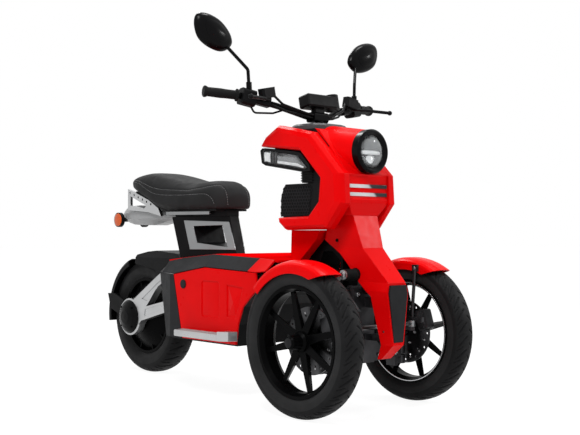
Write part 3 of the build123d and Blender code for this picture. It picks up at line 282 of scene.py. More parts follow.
NODE_FINISH = {
    RED: ["side_panels", "nose_shell", "cheeks", "spine_shell", "fender_left", "fender_right"],
    DECK_RED: ["deck_shell"],
    BLACK: ["underbody", "rear_mudguard", "rear_hugger", "inner_cowl", "storage_bin", "seat_pan",
            "seat_pillar", "side_lamp_housings", "controls", "dash", "tail_indicators", "control_cables"],
    MAT: ["side_trims", "spine_insert"],
    GLOSS_BLACK: ["headlamp_bezel", "mirrors", "axle_caps"],
    GRIP: ["grips", "front_damper"],
    BLACK_METAL: ["main_frame", "handlebar", "rim_front_left", "rim_front_right", "rim_rear"],
    CAST_METAL: ["front_pillar", "link_arms", "uprights", "knuckle_left", "knuckle_right", "brake_left",
                 "brake_right"],
    SILVER: ["footboards", "swingarm", "tail_bracket"],
    # pillar trims and track rod take the darker aluminium copy, painted shade
    SILVER_PAINTED_SHADE: ["pillar_trims", "track_rod"],
    DISC_STEEL: ["disc_front_left", "disc_front_right"],
    GREY: ["tail_unit"],
    DARK_GREY: ["top_cap", "battery_pack"],
    RUBBER: ["tyre_front_left", "tyre_front_right", "tyre_rear"],
    LEATHER: ["seat"],
    GLASS: ["headlamp_lens", "side_lamp_lenses"],
    # light bars: their white and dark parts are a painted reflection
    light_bar_painted_reflection(): ["light_bars"],
}
for finish, names in NODE_FINISH.items():
    for name in names:
        data = NODES[name].data
        data.materials.clear()
        data.materials.append(finish)


# Mesh helpers

def add_object(name, data):
    made = bpy.data.objects.new(name, data)
    bpy.context.scene.collection.objects.link(made)
    return made


def piece(name, points, faces, finish, body):
    """Mesh piece of the object that rides on a body."""
    mesh = bpy.data.meshes.new(name)
    mesh.from_pydata([tuple(p) for p in points], [], faces)
    mesh.polygons.foreach_set("use_smooth", [True] * len(mesh.polygons))
    mesh.materials.append(finish)
    mesh.update()
    made = add_object(name, mesh)
    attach(made, body)
    return made


def turn_to(direction):
    """Rotation that brings +Z into a direction."""
    return Vector(direction).normalized().to_track_quat("Z", "Y").to_matrix()


def ring(origin, turn, along, reaches):
    """Points at even angles around a turned axis, one for each reach; along and reaches in millimetres."""
    points = []
    for angle, reach in zip(even_angles(len(reaches)), reaches):
        offset = Vector((reach * math.cos(angle), reach * math.sin(angle), along))
        points.append(origin + turn @ offset * MM)
    return points


class Shape:
    """Points and faces gathered from several simple forms."""

    def __init__(self):
        self.points = []
        self.faces = []

    def add(self, points, faces):
        start = len(self.points)
        self.points += [Vector(p) for p in points]
        self.faces += [tuple(i + start for i in face) for face in faces]

    def grid(self, rows, close_cols=True):
        """Quads between rows of points."""
        count = len(rows[0])
        points = [p for row in rows for p in row]
        faces = []
        for i in range(len(rows) - 1):
            for j in range(count if close_cols else count - 1):
                a, b = i * count, (i + 1) * count
                k = (j + 1) % count
                faces.append((a + j, a + k, b + k, b + j))
        self.add(points, faces)

    def fan(self, row, centre, flip=False):
        """Triangles from a closed row of points to a centre."""
        count = len(row)
        faces = [(j, (j + 1) % count, count) for j in range(count)]
        if flip:
            faces = [face[::-1] for face in faces]
        self.add(list(row) + [centre], faces)

    def lathe(self, profile, origin, direction, segments):
        """Turned form; the profile lists radius and distance along the axis in millimetres."""
        turn = turn_to(direction)
        self.grid([ring(origin, turn, along, [radius] * segments) for radius, along in profile])

    def make(self, name, finish, body, degrees):
        """Piece that is shaded smooth up to an angle between faces."""
        made = piece(name, self.points, self.faces, finish, body)
        made.data.set_sharp_from_angle(angle=math.radians(degrees))
        return made


def smooth_line(points, count):
    """Open curve through the points, as an array of count points."""
    knots = np.array(points, float)
    knots = np.vstack([2 * knots[0] - knots[1], knots, 2 * knots[-1] - knots[-2]])
    spans = len(knots) - 3
    out = []
    for place in np.linspace(0, spans, count):
        i = min(int(place), spans - 1)
        u = place - i
        a, b, c, d = knots[i:i + 4]
        square = 2 * a - 5 * b + 4 * c - d
        cube = 3 * b - a - 3 * c + d
        out.append(0.5 * (2 * b + (c - a) * u + square * u * u + cube * u ** 3))
    return np.array(out)


def smoothstep(value):
    value = np.clip(value, 0, 1)
    return value * value * (3 - 2 * value)


# Tyres with curved tread grooves

BEAD_SHARE, BEAD_LIFT, CROWN_DROP = 0.31, 0.6, 0.2
# Section between bead and crown: share of the height above the rim, share of the half width
TYRE_SECTION = [(0.10, 0.7568), (0.28, 0.9544), (0.46, 0.995), (0.64, 0.985), (0.80, 0.915), (0.915, 0.70),
                (0.982, 0.36)]
SECTION_CORE = 0.45
SECTION_POINTS, TURN_STEPS = 70, 840
TREAD_SHARE, SIDEWALL_FROM = 0.51, 0.55
# Rings on the sidewall: share of the way from crown to bead, height, width
SIDE_RINGS = [(0.73, 0.9, 1.1), (0.90, 0.7, 1.6)]
RING_SHARE, RING_FROM = 0.6, 0.7
# Tread: grooves, half width, depth, sweep
FRONT_TREAD = (34, 3.4, 5.0, 46.0)
REAR_TREAD = (26, 4.2, 6.0, 40.0)
# Long and short grooves: shift in pitches, share of the sweep, power of its curve, share of the half width,
# taper to the edge, steepness of the walls, start and end across the tread, blend there, share of the depth
GROOVES = [
    (0.0, 1.0, 1.5, 1.15, 0.4, 2.2, 0.05, 0.98, 0.10, 1.0),
    (0.48, 0.7, 1.3, 0.62, 0.0, 1.6, 0.46, 1.06, 0.08, 0.8),
]


def tyre_section(radius, width, rim_r):
    """Points (radius, y) from bead over crown to bead, and their outward normals."""
    half, height = width / 2, radius - rim_r
    side = [(rim_r + BEAD_LIFT, BEAD_SHARE * width)]
    side += [(rim_r + up * height, out * half) for up, out in TYRE_SECTION]
    crown = [(radius - CROWN_DROP, 0.0)]
    line = smooth_line(side + crown + [(r, -y) for r, y in reversed(side)], SECTION_POINTS)
    tangent = np.gradient(line, axis=0)
    normal = np.stack([-tangent[:, 1], tangent[:, 0]], 1)
    normal /= np.linalg.norm(normal, axis=1)[:, None]
    outward = line - np.array([rim_r + SECTION_CORE * height, 0.0])
    normal *= np.sign((normal * outward).sum(1))[:, None]
    return line, normal


def between(value, start, end, blend):
    """1 between two limits and 0 outside them, with blended ends."""
    return smoothstep((value - start) / blend) * smoothstep((end - value) / blend)


def tread_cut(around, share, pitch, groove_half, sweep):
    """Long curved grooves, staggered left and right, with short ones between them, from 0 to 1 deep."""
    out = np.abs(share)
    place = around + np.where(share > 0, 0.0, 0.5 * pitch)
    cut = np.zeros_like(place)
    for shift, swept, power, wide, taper, steepness, start, end, blend, deep in GROOVES:
        curve = place + shift * pitch - swept * sweep * out ** power
        gap = np.abs((curve + pitch / 2) % pitch - pitch / 2)
        walls = smoothstep(steepness * (1 - gap / (groove_half * (wide - taper * out))))
        cut = np.maximum(cut, deep * walls * between(out, start, end, blend))
    return cut


def tyre_piece(node, body, centre, radius, width, rim_r, tread):
    """Tyre in place of a plain solid."""
    grooves, groove_half, depth, sweep = tread
    line, normal = tyre_section(radius, width, rim_r)
    step = np.linalg.norm(np.diff(line, axis=0), axis=1)
    along = np.concatenate([[0], np.cumsum(step)])
    half_run = along[-1] / 2
    across = along - half_run
    angles = np.linspace(0, 2 * math.pi, TURN_STEPS, endpoint=False)
    share = across / (TREAD_SHARE * width)
    pitch = 2 * math.pi * radius / grooves
    cut = tread_cut(-angles[:, None] * radius, share[None, :], pitch, groove_half, sweep)
    rings = np.zeros(len(line))
    for place, height, wide in SIDE_RINGS:
        rings += height * np.exp(-((np.abs(across) - place * half_run) / wide) ** 2)
    sunk = rings.max() * (np.abs(across) > RING_FROM * half_run)
    shift = RING_SHARE * (rings - sunk)[None, :] - depth * cut
    profile = line[None, :, :] + shift[:, :, None] * normal[None, :, :]
    x = profile[:, :, 0] * np.cos(angles)[:, None]
    z = profile[:, :, 0] * np.sin(angles)[:, None]
    points = np.stack([x, profile[:, :, 1], z], 2) * MM + np.array(centre)
    index = np.arange(TURN_STEPS * len(line)).reshape(TURN_STEPS, len(line))
    follow = np.roll(index, -1, axis=0)
    quads = np.stack([index[:, :-1], index[:, 1:], follow[:, 1:], follow[:, :-1]], 2).reshape(-1, 4)
    foot = np.stack([index[:, -1], index[:, 0], follow[:, 0], follow[:, -1]], 1)
    faces = np.vstack([quads, foot]).tolist()
    made = piece("tread_" + node, points.reshape(-1, 3), faces, RUBBER, body)
    made.data.materials.append(SIDEWALL)
    flank = np.abs(across[:-1] + across[1:]) / 2 > SIDEWALL_FROM * half_run
    finishes = np.concatenate([np.tile(flank, TURN_STEPS), np.ones(TURN_STEPS)]).astype(int)
    made.data.polygons.foreach_set("material_index", finishes)
    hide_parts(node)


for side, sign in SIDES:
    tyre_piece(f"tyre_front_{side}", f"wheel_front_{side}", ahead(0, sign * WHEEL_Y, FRONT_R), FRONT_R,
               FRONT_W, FRONT_RIM, FRONT_TREAD)
tyre_piece("tyre_rear", "wheel_rear", at(0, 0, REAR_R), REAR_R, REAR_W, REAR_RIM, REAR_TREAD)


# Seat: a padded form swollen by cloth pressure, with two stitched seams on each side

SEAT_BASE = 697.0
# Columns: x, half width, bottom and top above the base
SEAT = [(-82, 58, 108, 136), (-50, 86, 94, 148), (10, 110, 72, 154), (80, 121, 46, 155),
        (140, 125, 20, 150), (220, 127, 2, 136), (300, 127, -2, 118), (380, 125, -3, 104),
        (450, 120, -4, 106), (515, 104, -5, 105), (558, 80, -4, 88), (584, 48, 4, 60)]
SEAT_ROWS, SEAT_COLS = 46, 48
# Section: height of the widest place, and powers that square its sides, top and bottom
SEAT_WAIST, SIDE_POWER, TOP_POWER, FOOT_POWER = 0.42, 0.62, 0.78, 0.36
# Millimetres to the pan, then metres: flat band above the pan, limit of the swelling, voxels
SEAT_GAP, FLAT_BAND, SEAT_CAP, SEAT_VOXEL = 0.4, 0.004, 0.006, 0.006
CLOTH_FRAMES = 20


def seat_cage():
    """Closed form through rounded sections."""
    rows = []
    for x, half, low, high in smooth_line(SEAT, SEAT_ROWS):
        row = []
        for angle in even_angles(SEAT_COLS):
            c, s = math.cos(angle), math.sin(angle)
            y = half * math.copysign(abs(c) ** SIDE_POWER, c)
            if s > 0:
                share = SEAT_WAIST + (1 - SEAT_WAIST) * s ** TOP_POWER
            else:
                share = SEAT_WAIST - SEAT_WAIST * abs(s) ** FOOT_POWER
            row.append(at(x, y, SEAT_BASE + low + (high - low) * share))
        rows.append(row)
    form = Shape()
    form.grid(rows)
    for row, flip in ((rows[0], True), (rows[-1], False)):
        form.fan(row, sum(row, Vector()) / len(row), flip)
    return form


def swell(made, cap):
    """Cloth pressure on the remeshed form, with the movement of each point limited."""
    rest = np.array([v.co for v in made.data.vertices])
    cloth = made.modifiers.new("cloth", "CLOTH")
    cloth.settings.quality = 4
    cloth.settings.use_pressure = True
    cloth.settings.uniform_pressure_force = 4.0
    cloth.settings.effector_weights.gravity = 0.0
    cloth.settings.tension_stiffness = 18.0
    cloth.settings.bending_stiffness = 2.0
    cloth.point_cache.frame_start = 1
    cloth.point_cache.frame_end = CLOTH_FRAMES
    for number in range(1, CLOTH_FRAMES + 1):
        bpy.context.scene.frame_set(number)
    graph = bpy.context.evaluated_depsgraph_get()
    moved = made.evaluated_get(graph).to_mesh()
    swollen = np.array([v.co for v in moved.vertices])
    made.evaluated_get(graph).to_mesh_clear()
    made.modifiers.remove(cloth)
    bpy.context.scene.frame_set(1)
    move = swollen - rest
    length = np.linalg.norm(move, axis=1)[:, None]
    capped = rest + move * np.minimum(1.0, cap / np.maximum(length, 1e-9))
    pan_z = (SEAT_BASE + SEAT_GAP) * MM
    flat = rest[:, 2] < pan_z + FLAT_BAND
    capped[flat, 2] = np.maximum(capped[flat, 2], pan_z)
    made.data.vertices.foreach_set("co", capped.astype(np.float32).ravel())
    made.data.update()


def apply_modifiers(made):
    graph = bpy.context.evaluated_depsgraph_get()
    data = bpy.data.meshes.new_from_object(made.evaluated_get(graph))
    made.modifiers.clear()
    made.data = data


def seat_piece():
    form = seat_cage()
    made = piece("seat_cushion", form.points, form.faces, LEATHER, "chassis")
    remesh = made.modifiers.new("remesh", "REMESH")
    remesh.mode = "VOXEL"
    remesh.voxel_size = SEAT_VOXEL
    remesh.use_smooth_shade = True
    relax = made.modifiers.new("relax", "SMOOTH")
    relax.factor = 0.5
    relax.iterations = 6
    apply_modifiers(made)
    swell(made, SEAT_CAP)
    rounder = made.modifiers.new("rounder", "SUBSURF")
    rounder.levels = 1
    rounder.render_levels = 1
    apply_modifiers(made)
    made.data.materials.clear()
    made.data.materials.append(LEATHER)
    made.data.polygons.foreach_set("use_smooth", [True] * len(made.data.polygons))
    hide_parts("seat")
    return made


# Seam lines on the left side: x, y, z aimed at the surface from outside
SEAMS = [
    [(-24, 106, 842), (70, 121, 816), (143, 128, 795), (216, 129, 784), (274, 128, 781), (344, 122, 780),
     (408, 114, 782), (469, 104, 787), (509, 87, 793), (531, 64, 794), (558, 58, 780), (572, 57, 755),
     (577, 56, 722), (577, 54, 706)],
    [(-30, 104, 826), (35, 118, 812), (100, 127, 787), (157, 130, 768), (220, 132, 759), (299, 131, 756),
     (390, 128, 757), (456, 122, 758), (497, 112, 756), (524, 103, 740), (534, 95, 719), (536, 92, 706)],
]
SEAM_POINTS, SEAM_BLOCKS = 400, 40
# Seams and stitches in metres
SEAM_DEPTH, SEAM_WIDTH = 0.0022, 0.0045
STITCH, STITCH_GAP, STITCH_R, STITCH_SINK = 0.0062, 0.0036, 0.0008, 0.00164
# Share of a stitch's length, share of its radius
STITCH_FORM = ((0.0, 0.35), (0.14, 0.9), (0.5, 1.0), (0.86, 0.9), (1.0, 0.35))
STITCH_SIDES = 6


def seat_seams(seat):
    """Grooves pressed into the seat along the seams, and a row of stitches in each."""
    tree = BVHTree.FromObject(seat, bpy.context.evaluated_depsgraph_get())
    stitches = Shape()
    paths = []
    for seam in SEAMS:
        for sign in (1, -1):
            line = smooth_line([at(x, sign * y, z) for x, y, z in seam], SEAM_POINTS)
            found = [tree.find_nearest(Vector(p)) for p in line]
            paths.append([(hit, normal) for hit, normal, face, gap in found])
    press_seams(seat, paths)
    for path in paths:
        travelled, start = 0.0, None
        for (a, normal), (b, _) in zip(path, path[1:]):
            step = (b - a).length
            place = travelled % (STITCH + STITCH_GAP)
            if start is None and place < STITCH:
                start = a
            if start is not None and place + step >= STITCH:
                stitch_between(stitches, start, b, normal)
                start = None
            travelled += step
    made = stitches.make("seat_stitches", THREAD, "chassis", 60.0)


def press_seams(seat, paths):
    """Seat's points sunk along their normals where they are near a seam."""
    co = np.array([v.co for v in seat.data.vertices])
    normals = np.array([v.normal for v in seat.data.vertices])
    line = np.array([hit for path in paths for hit, normal in path])
    nearest = np.full(len(co), 1.0)
    for block in np.array_split(line, SEAM_BLOCKS):
        gap = np.sqrt(((co[:, None, :] - block[None, :, :]) ** 2).sum(2)).min(1)
        nearest = np.minimum(nearest, gap)
    sink = SEAM_DEPTH * np.exp(-(nearest / SEAM_WIDTH) ** 2)
    co -= normals * sink[:, None]
    seat.data.vertices.foreach_set("co", co.astype(np.float32).ravel())
    seat.data.update()


def stitch_between(shape, first, last, normal):
    """One stitch as a small rounded rod that lies in the seam."""
    start, end = first - normal * STITCH_SINK, last - normal * STITCH_SINK
    run = (end - start).normalized()
    side = run.cross(normal).normalized()
    up = side.cross(run)
    around = [side * math.cos(a) + up * math.sin(a) for a in even_angles(STITCH_SIDES)]
    rows = []
    for share, size in STITCH_FORM:
        centre = start.lerp(end, share)
        rows.append([centre + spoke * STITCH_R * size for spoke in around])
    shape.grid(rows)
    shape.fan(rows[0], start, True)
    shape.fan(rows[-1], end)


seat = seat_piece()
seat_seams(seat)


# Headlamp: fluted reflector, crossbar and lower projector behind the clear lens

LAMP_X, LAMP_Z = WHEELBASE + 32, 879.0
BOWL_R, BOWL_HOLE, BOWL_FLAT_R, BOWL_BACK, BOWL_SLOPE = 50.0, 4, 25, 9.0, 0.40
BOWL_RINGS, BOWL_STEPS = 12, 120
FLUTE_WAVES, FLUTE_DEPTH = 15, 0.9
CROSSBAR_HALF, CROSSBAR_R = BOWL_R - 5, 7.5
CROSSBAR_X, CROSSBAR_Z = LAMP_X + 15, LAMP_Z - 4
CROSSBAR_ROWS, CROSSBAR_SIDES = 17, 12
# Depth as a share of the height, power that squares the ends, and what is left of them
CROSSBAR_DEPTH, CROSSBAR_POWER, CROSSBAR_END = 0.5, 6, 0.05
PROJECTOR_X, PROJECTOR_Z = LAMP_X + BOWL_BACK + 0.5, LAMP_Z - 27
PROJECTOR = [(19, 0), (19, 2.5), (17.5, 3.2), (17, 2), (13, 6), (7, 8.5), (0.01, 9.5)]


def headlamp_bowl():
    bowl = Shape()
    rows = []
    for i in range(BOWL_RINGS + 1):
        radius = BOWL_HOLE + (BOWL_R - BOWL_HOLE) * i / BOWL_RINGS
        depth = BOWL_BACK + max(0.0, radius - BOWL_FLAT_R) * BOWL_SLOPE
        row = []
        for angle in even_angles(BOWL_STEPS):
            flute = FLUTE_DEPTH * i / BOWL_RINGS * abs(math.sin(angle * FLUTE_WAVES))
            y, z = radius * math.cos(angle), LAMP_Z + radius * math.sin(angle)
            row.append(at(LAMP_X + depth + flute, y, z))
        rows.append(row)
    bowl.grid(rows)
    bowl.fan(rows[0], at(LAMP_X + BOWL_BACK, 0, LAMP_Z), True)
    bowl.make("headlamp_reflector", LAMP_CHROME, "chassis", 50.0)


def headlamp_crossbar():
    bar = Shape()
    rows = []
    for y in np.linspace(-CROSSBAR_HALF, CROSSBAR_HALF, CROSSBAR_ROWS):
        share = max(CROSSBAR_END, 1 - (y / CROSSBAR_HALF) ** CROSSBAR_POWER)
        high = CROSSBAR_R * math.sqrt(share)
        deep = CROSSBAR_DEPTH * high
        rows.append([at(CROSSBAR_X + deep * math.cos(a), y, CROSSBAR_Z + high * math.sin(a))
                     for a in even_angles(CROSSBAR_SIDES)])
    bar.grid(rows)
    bar.fan(rows[0], at(CROSSBAR_X, -CROSSBAR_HALF, CROSSBAR_Z), True)
    bar.fan(rows[-1], at(CROSSBAR_X, CROSSBAR_HALF, CROSSBAR_Z))
    bar.make("headlamp_crossbar", WHITE_LIGHT, "chassis", 60.0)


def headlamp_projector():
    eye = Shape()
    eye.lathe(PROJECTOR, at(PROJECTOR_X, 0, PROJECTOR_Z), (1, 0, 0), segments=40)
    eye.make("headlamp_projector", CHROME, "chassis", 40.0)


headlamp_bowl()
headlamp_crossbar()
headlamp_projector()


# Side lamps: reflector tray, white rear segment, dark dividers and a light guide behind each clear lens

# Edges of the lamp's face: x ahead of the front axle, z
FACE_TOP = ((-354, -178, -126), (899, 874, 827))
FACE_FOOT = ((-346, -300, -132), (857, 848, 822))
TRAY_Y = 121.0
# Strips: ends, steps, and a profile of height over the tray and share of the face's height
TRAY = ((-350, -130, 24), [(8, 0.02), (2, 0.14), (0, 0.4), (3, 0.8), (9, 0.98)])
SEGMENT = ((-350, -318, 5), [(4, 0.08), (10, 0.12), (11, 0.5), (10, 0.88), (4, 0.92)])
GUIDE = ((-282, -146, 20), [(3, 0.10), (8, 0.12), (8, 0.32), (3, 0.34)])
# Dividers: x, half width
DIVIDERS = ((-308, 6.0), (-292, 3.0))
DIVIDER_GAP, DIVIDER_FOOT, DIVIDER_BULGE, DIVIDER_STEPS = 1.5, 2, 1.4, 9


def face_edges(x):
    """Upper and lower edge of the side lamp's face."""
    return np.interp(x, *FACE_TOP), np.interp(x, *FACE_FOOT)


def lamp_strip(shape, sign, strip):
    """Strip along the lamp between its edges."""
    ends, profile = strip
    rows = []
    for x in np.linspace(*ends):
        top, foot = face_edges(x)
        rows.append([ahead(x, sign * (TRAY_Y + lift), foot + share * (top - foot))
                     for lift, share in profile])
    shape.grid(rows, close_cols=False)


def lamp_divider(shape, sign, x, wide):
    """Half-round post between the edges of the lamp."""
    top, foot = face_edges(x)
    rows = []
    for z in (foot + DIVIDER_GAP, top - DIVIDER_GAP):
        row = []
        for angle in np.linspace(0, math.pi, DIVIDER_STEPS):
            lift = DIVIDER_FOOT + DIVIDER_BULGE * wide * math.sin(angle)
            row.append(ahead(x + wide * math.cos(angle), sign * (TRAY_Y + lift), z))
        rows.append(row)
    shape.grid(rows, close_cols=False)


def side_lamps():
    for side, sign in SIDES:
        tray = Shape()
        lamp_strip(tray, sign, TRAY)
        tray.make(f"side_lamp_tray_{side}", LAMP_CHROME, "chassis", 50.0)
        segment = Shape()
        lamp_strip(segment, sign, SEGMENT)
        segment.make(f"side_lamp_segment_{side}", WHITE_LIGHT, "chassis", 50.0)
        divider = Shape()
        for x, wide in DIVIDERS:
            lamp_divider(divider, sign, x, wide)
        divider.make(f"side_lamp_divider_{side}", DARK_GREY, "chassis", 60.0)
        guide = Shape()
        lamp_strip(guide, sign, GUIDE)
        guide.make(f"side_lamp_guide_{side}", WHITE_LIGHT, "chassis", 40.0)


side_lamps()


# Storage bin: a hexagonal net over its sides and its rear wall

BIN_LOW, BIN_HIGH, BIN_HALF = 661.0, 776.0, 94
# Front edge of the sides at their foot, and how far it leans forward to the top
BIN_FRONT, BIN_LEAN = -148, 14
# Rear wall from below: x ahead of the front axle, z
BIN_REAR = [(-305, 661), (-303, 729), (-290, 763), (-279, 776)]
HEX_PITCH, HEX_BAR, HEX_SEAT, HEX_PROUD = 13.0, 1.5, 0.1, 2.0
NET_EDGE, NET_END, NET_LENGTH = 6, 7, 180
# Rise of the bars on the rear wall for each millimetre that they stand out
NET_RISE = 0.3


def hex_net(shape, place, inside, width, height):
    """Hexagonal bars over a flat field; place(u, v, lift) gives points and inside(u, v) trims the field."""
    row_step = HEX_PITCH * math.sqrt(3) / 2
    reach = HEX_PITCH / math.sqrt(3)
    for i in range(int(height / row_step) + 2):
        for j in range(int(width / HEX_PITCH) + 2):
            u = j * HEX_PITCH + (HEX_PITCH / 2 if i % 2 else 0)
            v = i * row_step
            if not inside(u, v):
                continue
            outer, inner = [], []
            for angle in even_angles(6, 0.5):
                c, s = math.cos(angle), math.sin(angle)
                outer.append((u + reach * c, v + reach * s))
                inner.append((u + (reach - HEX_BAR) * c, v + (reach - HEX_BAR) * s))
            shape.grid([[place(a, b, HEX_SEAT) for a, b in inner], [place(a, b, HEX_PROUD) for a, b in inner],
                        [place(a, b, HEX_PROUD) for a, b in outer]])


def bin_net():
    net = Shape()
    rear_x, rear_z = zip(*BIN_REAR)
    height = BIN_HIGH - BIN_LOW

    def in_side(u, v):
        x, z = rear_x[0] + u, BIN_LOW + v
        back = np.interp(z, rear_z, rear_x) + NET_END
        front = BIN_FRONT + BIN_LEAN * v / height - NET_END
        return NET_EDGE < v < height - NET_EDGE and back < x < front

    for sign in (1, -1):
        def on_side(u, v, lift, sign=sign):
            return ahead(rear_x[0] + u, sign * (BIN_HALF + lift), BIN_LOW + v)
        hex_net(net, on_side, in_side, NET_LENGTH, height)
    steps = [math.dist(a, b) for a, b in zip(BIN_REAR, BIN_REAR[1:])]
    reach = np.concatenate([[0], np.cumsum(steps)])

    def in_rear(u, v):
        return NET_EDGE < u < 2 * BIN_HALF - NET_EDGE and NET_EDGE < v < reach[-1] - NET_EDGE

    def on_rear(u, v, lift):
        x, z = np.interp(v, reach, rear_x), np.interp(v, reach, rear_z)
        return ahead(x - lift, u - BIN_HALF, z + NET_RISE * lift)
    hex_net(net, on_rear, in_rear, 2 * BIN_HALF, reach[-1])
    net.make("bin_net", MAT, "chassis", 20.0)


bin_net()


# Mirrors: glass on the rear faces and a crown on the backs

# Outline of a head, left of and above the middle of the bar
MIRROR_RIM = [(292, 258), (300, 280), (318, 302), (346, 324), (385, 339), (420, 342), (445, 332), (453, 310),
              (450, 282), (438, 256), (413, 236), (376, 222), (338, 218), (306, 232)]
RIM_STEPS = 5
GLASS_X, CROWN_X = BAR_X - 138, BAR_X - 104
# Share of the outline, height over the face; the last height is the middle's
GLASS_FORM = ((0.90, -0.1), (0.885, -1.0), (0.6, -1.4), (0.3, -1.6)), -1.7
CROWN_FORM = ((0.60, -2.5), (0.50, 0.6), (0.40, 2.6), (0.25, 4.6), (0.12, 5.6)), 6.2


def mirror_plate(sign, face_x, form):
    """Domed plate inside the outline of a mirror."""
    middle_y, middle_z = np.mean(MIRROR_RIM, axis=0)
    looped = MIRROR_RIM[-1:] + MIRROR_RIM + MIRROR_RIM[:2]
    rounded = smooth_line(looped, len(looped) * RIM_STEPS + 1)[RIM_STEPS:-2 * RIM_STEPS]
    steps, top = form
    plate = Shape()
    rows = []
    for share, lift in steps:
        rows.append([at(face_x + lift, sign * (middle_y + share * (y - middle_y)),
                        BAR_Z + middle_z + share * (z - middle_z)) for y, z in rounded])
    plate.grid(rows)
    plate.fan(rows[-1], at(face_x + top, sign * middle_y, BAR_Z + middle_z))
    return plate


for side, sign in SIDES:
    plate = mirror_plate(sign, GLASS_X, GLASS_FORM)
    plate.make(f"mirror_glass_{side}", MIRROR, "handlebar", 50.0)
    crown = mirror_plate(sign, CROWN_X, CROWN_FORM)
    crown.make(f"mirror_crown_{side}", GLOSS_BLACK, "handlebar", 60.0)


# Rear lenses: amber reflectors on the sides of the tail and a red lamp across its end

REFLECTOR_PLACE = (-180, 74, 660)
REFLECTOR = [(28.5, 0.1), (28, 1.4), (24, 2.8), (14, 4.0), (0.01, 4.6)]
TAIL_X, TAIL_HALF, TAIL_ROWS = -205, 18, 13
# Bow: depth, half width where it would end, power that squares it
TAIL_BOW, TAIL_BOW_HALF, TAIL_POWER = 3.0, 19.5, 4
# Share of the bow, z
TAIL_FORM = ((0.05, 670), (0.8, 672), (1.0, 680), (0.8, 688), (0.05, 690))


def reflectors():
    x, y, z = REFLECTOR_PLACE
    for side, sign in SIDES:
        lens = Shape()
        lens.lathe(REFLECTOR, at(x, sign * y, z), (0, sign, 0), segments=48)
        lens.make(f"reflector_{side}", AMBER, "chassis", 50.0)


def tail_lens():
    lens = Shape()
    rows = []
    for y in np.linspace(-TAIL_HALF, TAIL_HALF, TAIL_ROWS):
        bow = TAIL_BOW * (1 - (y / TAIL_BOW_HALF) ** TAIL_POWER)
        rows.append([at(TAIL_X - depth * bow, y, z) for depth, z in TAIL_FORM])
    lens.grid(rows, close_cols=False)
    lens.make("tail_lens", RED_LENS, "chassis", 50.0)


reflectors()
tail_lens()


# Dash screen on the tilted dash

DASH_TILT = math.radians(-12)
DASH_CENTRE = at(BAR_X + 4, 0, BAR_Z + 56)
SCREEN_CORNERS = [(-21, -63), (-21, 40), (21, 40), (21, -63)]
SCREEN_SHIFT, SCREEN_Z = 11, 23.0
# Inset from the corners, height over the dash
SCREEN_FORM = ((0.0, 0.0), (0.6, 0.9), (4.0, 1.0))


def dash_screen():
    tilt = Matrix.Rotation(DASH_TILT, 4, "Y")

    def local(x, y, z):
        return DASH_CENTRE + tilt @ (Vector((x, y, z)) * MM)
    screen = Shape()
    rows = []
    for inset, lift in SCREEN_FORM:
        rows.append([local(x - math.copysign(inset, x), y - math.copysign(inset, y + SCREEN_SHIFT),
                           SCREEN_Z + lift) for x, y in SCREEN_CORNERS])
    screen.grid(rows)
    screen.fan(rows[-1], local(0, -SCREEN_SHIFT, SCREEN_Z + SCREEN_FORM[-1][1]), True)
    screen.make("dash_screen", SCREEN, "handlebar", 30.0)


dash_screen()


# Bolts, rivets and caps; a bolt's size is its radius and height

BOLT_STEPS = 24
SIXTH = math.pi / 3
RIVETS, RIVET_CIRCLE, RIVET = 12, 92, (3.6, 1.8)
# Faces of the disc carrier: y from the wheel's middle, outward or inward
RIVET_FACES = ((-35.9, 1), (-40.1, -1))
DISC_BOLTS, DISC_BOLT_CIRCLE, DISC_BOLT_Y, DISC_BOLT = 6, 44, -40, (5.0, 4.0)
RIM_RING = [(174, -36.3), (175, -37.3), (177.5, -37.3), (178, -36.3)]
HUB_CAP = [(15.6, 0.1), (15.6, 1.6), (13.5, 2.6), (0.01, 3.2)]
HUB_CAP_Y = 62
# Fender bolt from the wheel's middle
FENDER_PLACE, FENDER_BOLT = (63, -63, 228), (5.0, 3.0)
AXLE_BOLTS, AXLE_BOLT_CIRCLE, AXLE_BOLT_Y, AXLE_BOLT = 4, 56, 144.8, (4.6, 2.6)
AXLE_SLOPE, AXLE_OUT = 0.5, 0.87
PIVOT_PLACES, PIVOT_Y, PIVOT_BOLT = ((335, 330), (325, 460)), 136, (9.0, 4.0)
LINK_X, LINK_Y, LINK_Z, LINK_BOLT = 38, (52, 138), (185, 395), (7.5, 4.0)
DAMPER_CAP = [(0.01, 0), (17, 0), (17, 5), (11, 7), (9, 12), (0.01, 12)]
DAMPER_PLACE = (28, 110, 462)
COWL_PLACE, COWL_LEAN, COWL_BOLT = (-53, 60.0, 577), 0.07, (6.0, 2.4)
UNION = [(5, -3), (5, 4), (3.2, 5), (3.2, 12), (0.01, 12)]
UNION_PLACE, UNION_RUN = (984, -179, 1083), (0.3, 1, -0.25)


def hexagon(size):
    """Reaches of a hexagon at even angles; size is half its width across flats."""
    return [size / math.cos((a + SIXTH / 2) % SIXTH - SIXTH / 2) for a in even_angles(BOLT_STEPS)]


def bolt(shape, centre, direction, size):
    """Round head with a hexagonal socket."""
    radius, height = size
    turn = turn_to(direction)
    rows = []
    for share, along in ((1.0, 0.02), (1.0, 0.75 * height), (0.88, height)):
        rows.append(ring(centre, turn, along, [share * radius] * BOLT_STEPS))
    for share, along in ((0.52, height), (0.50, 0.4 * height)):
        rows.append(ring(centre, turn, along, hexagon(share * radius)))
    shape.grid(rows)
    shape.fan(rows[-1], centre + turn @ Vector((0, 0, 0.4 * height)) * MM)


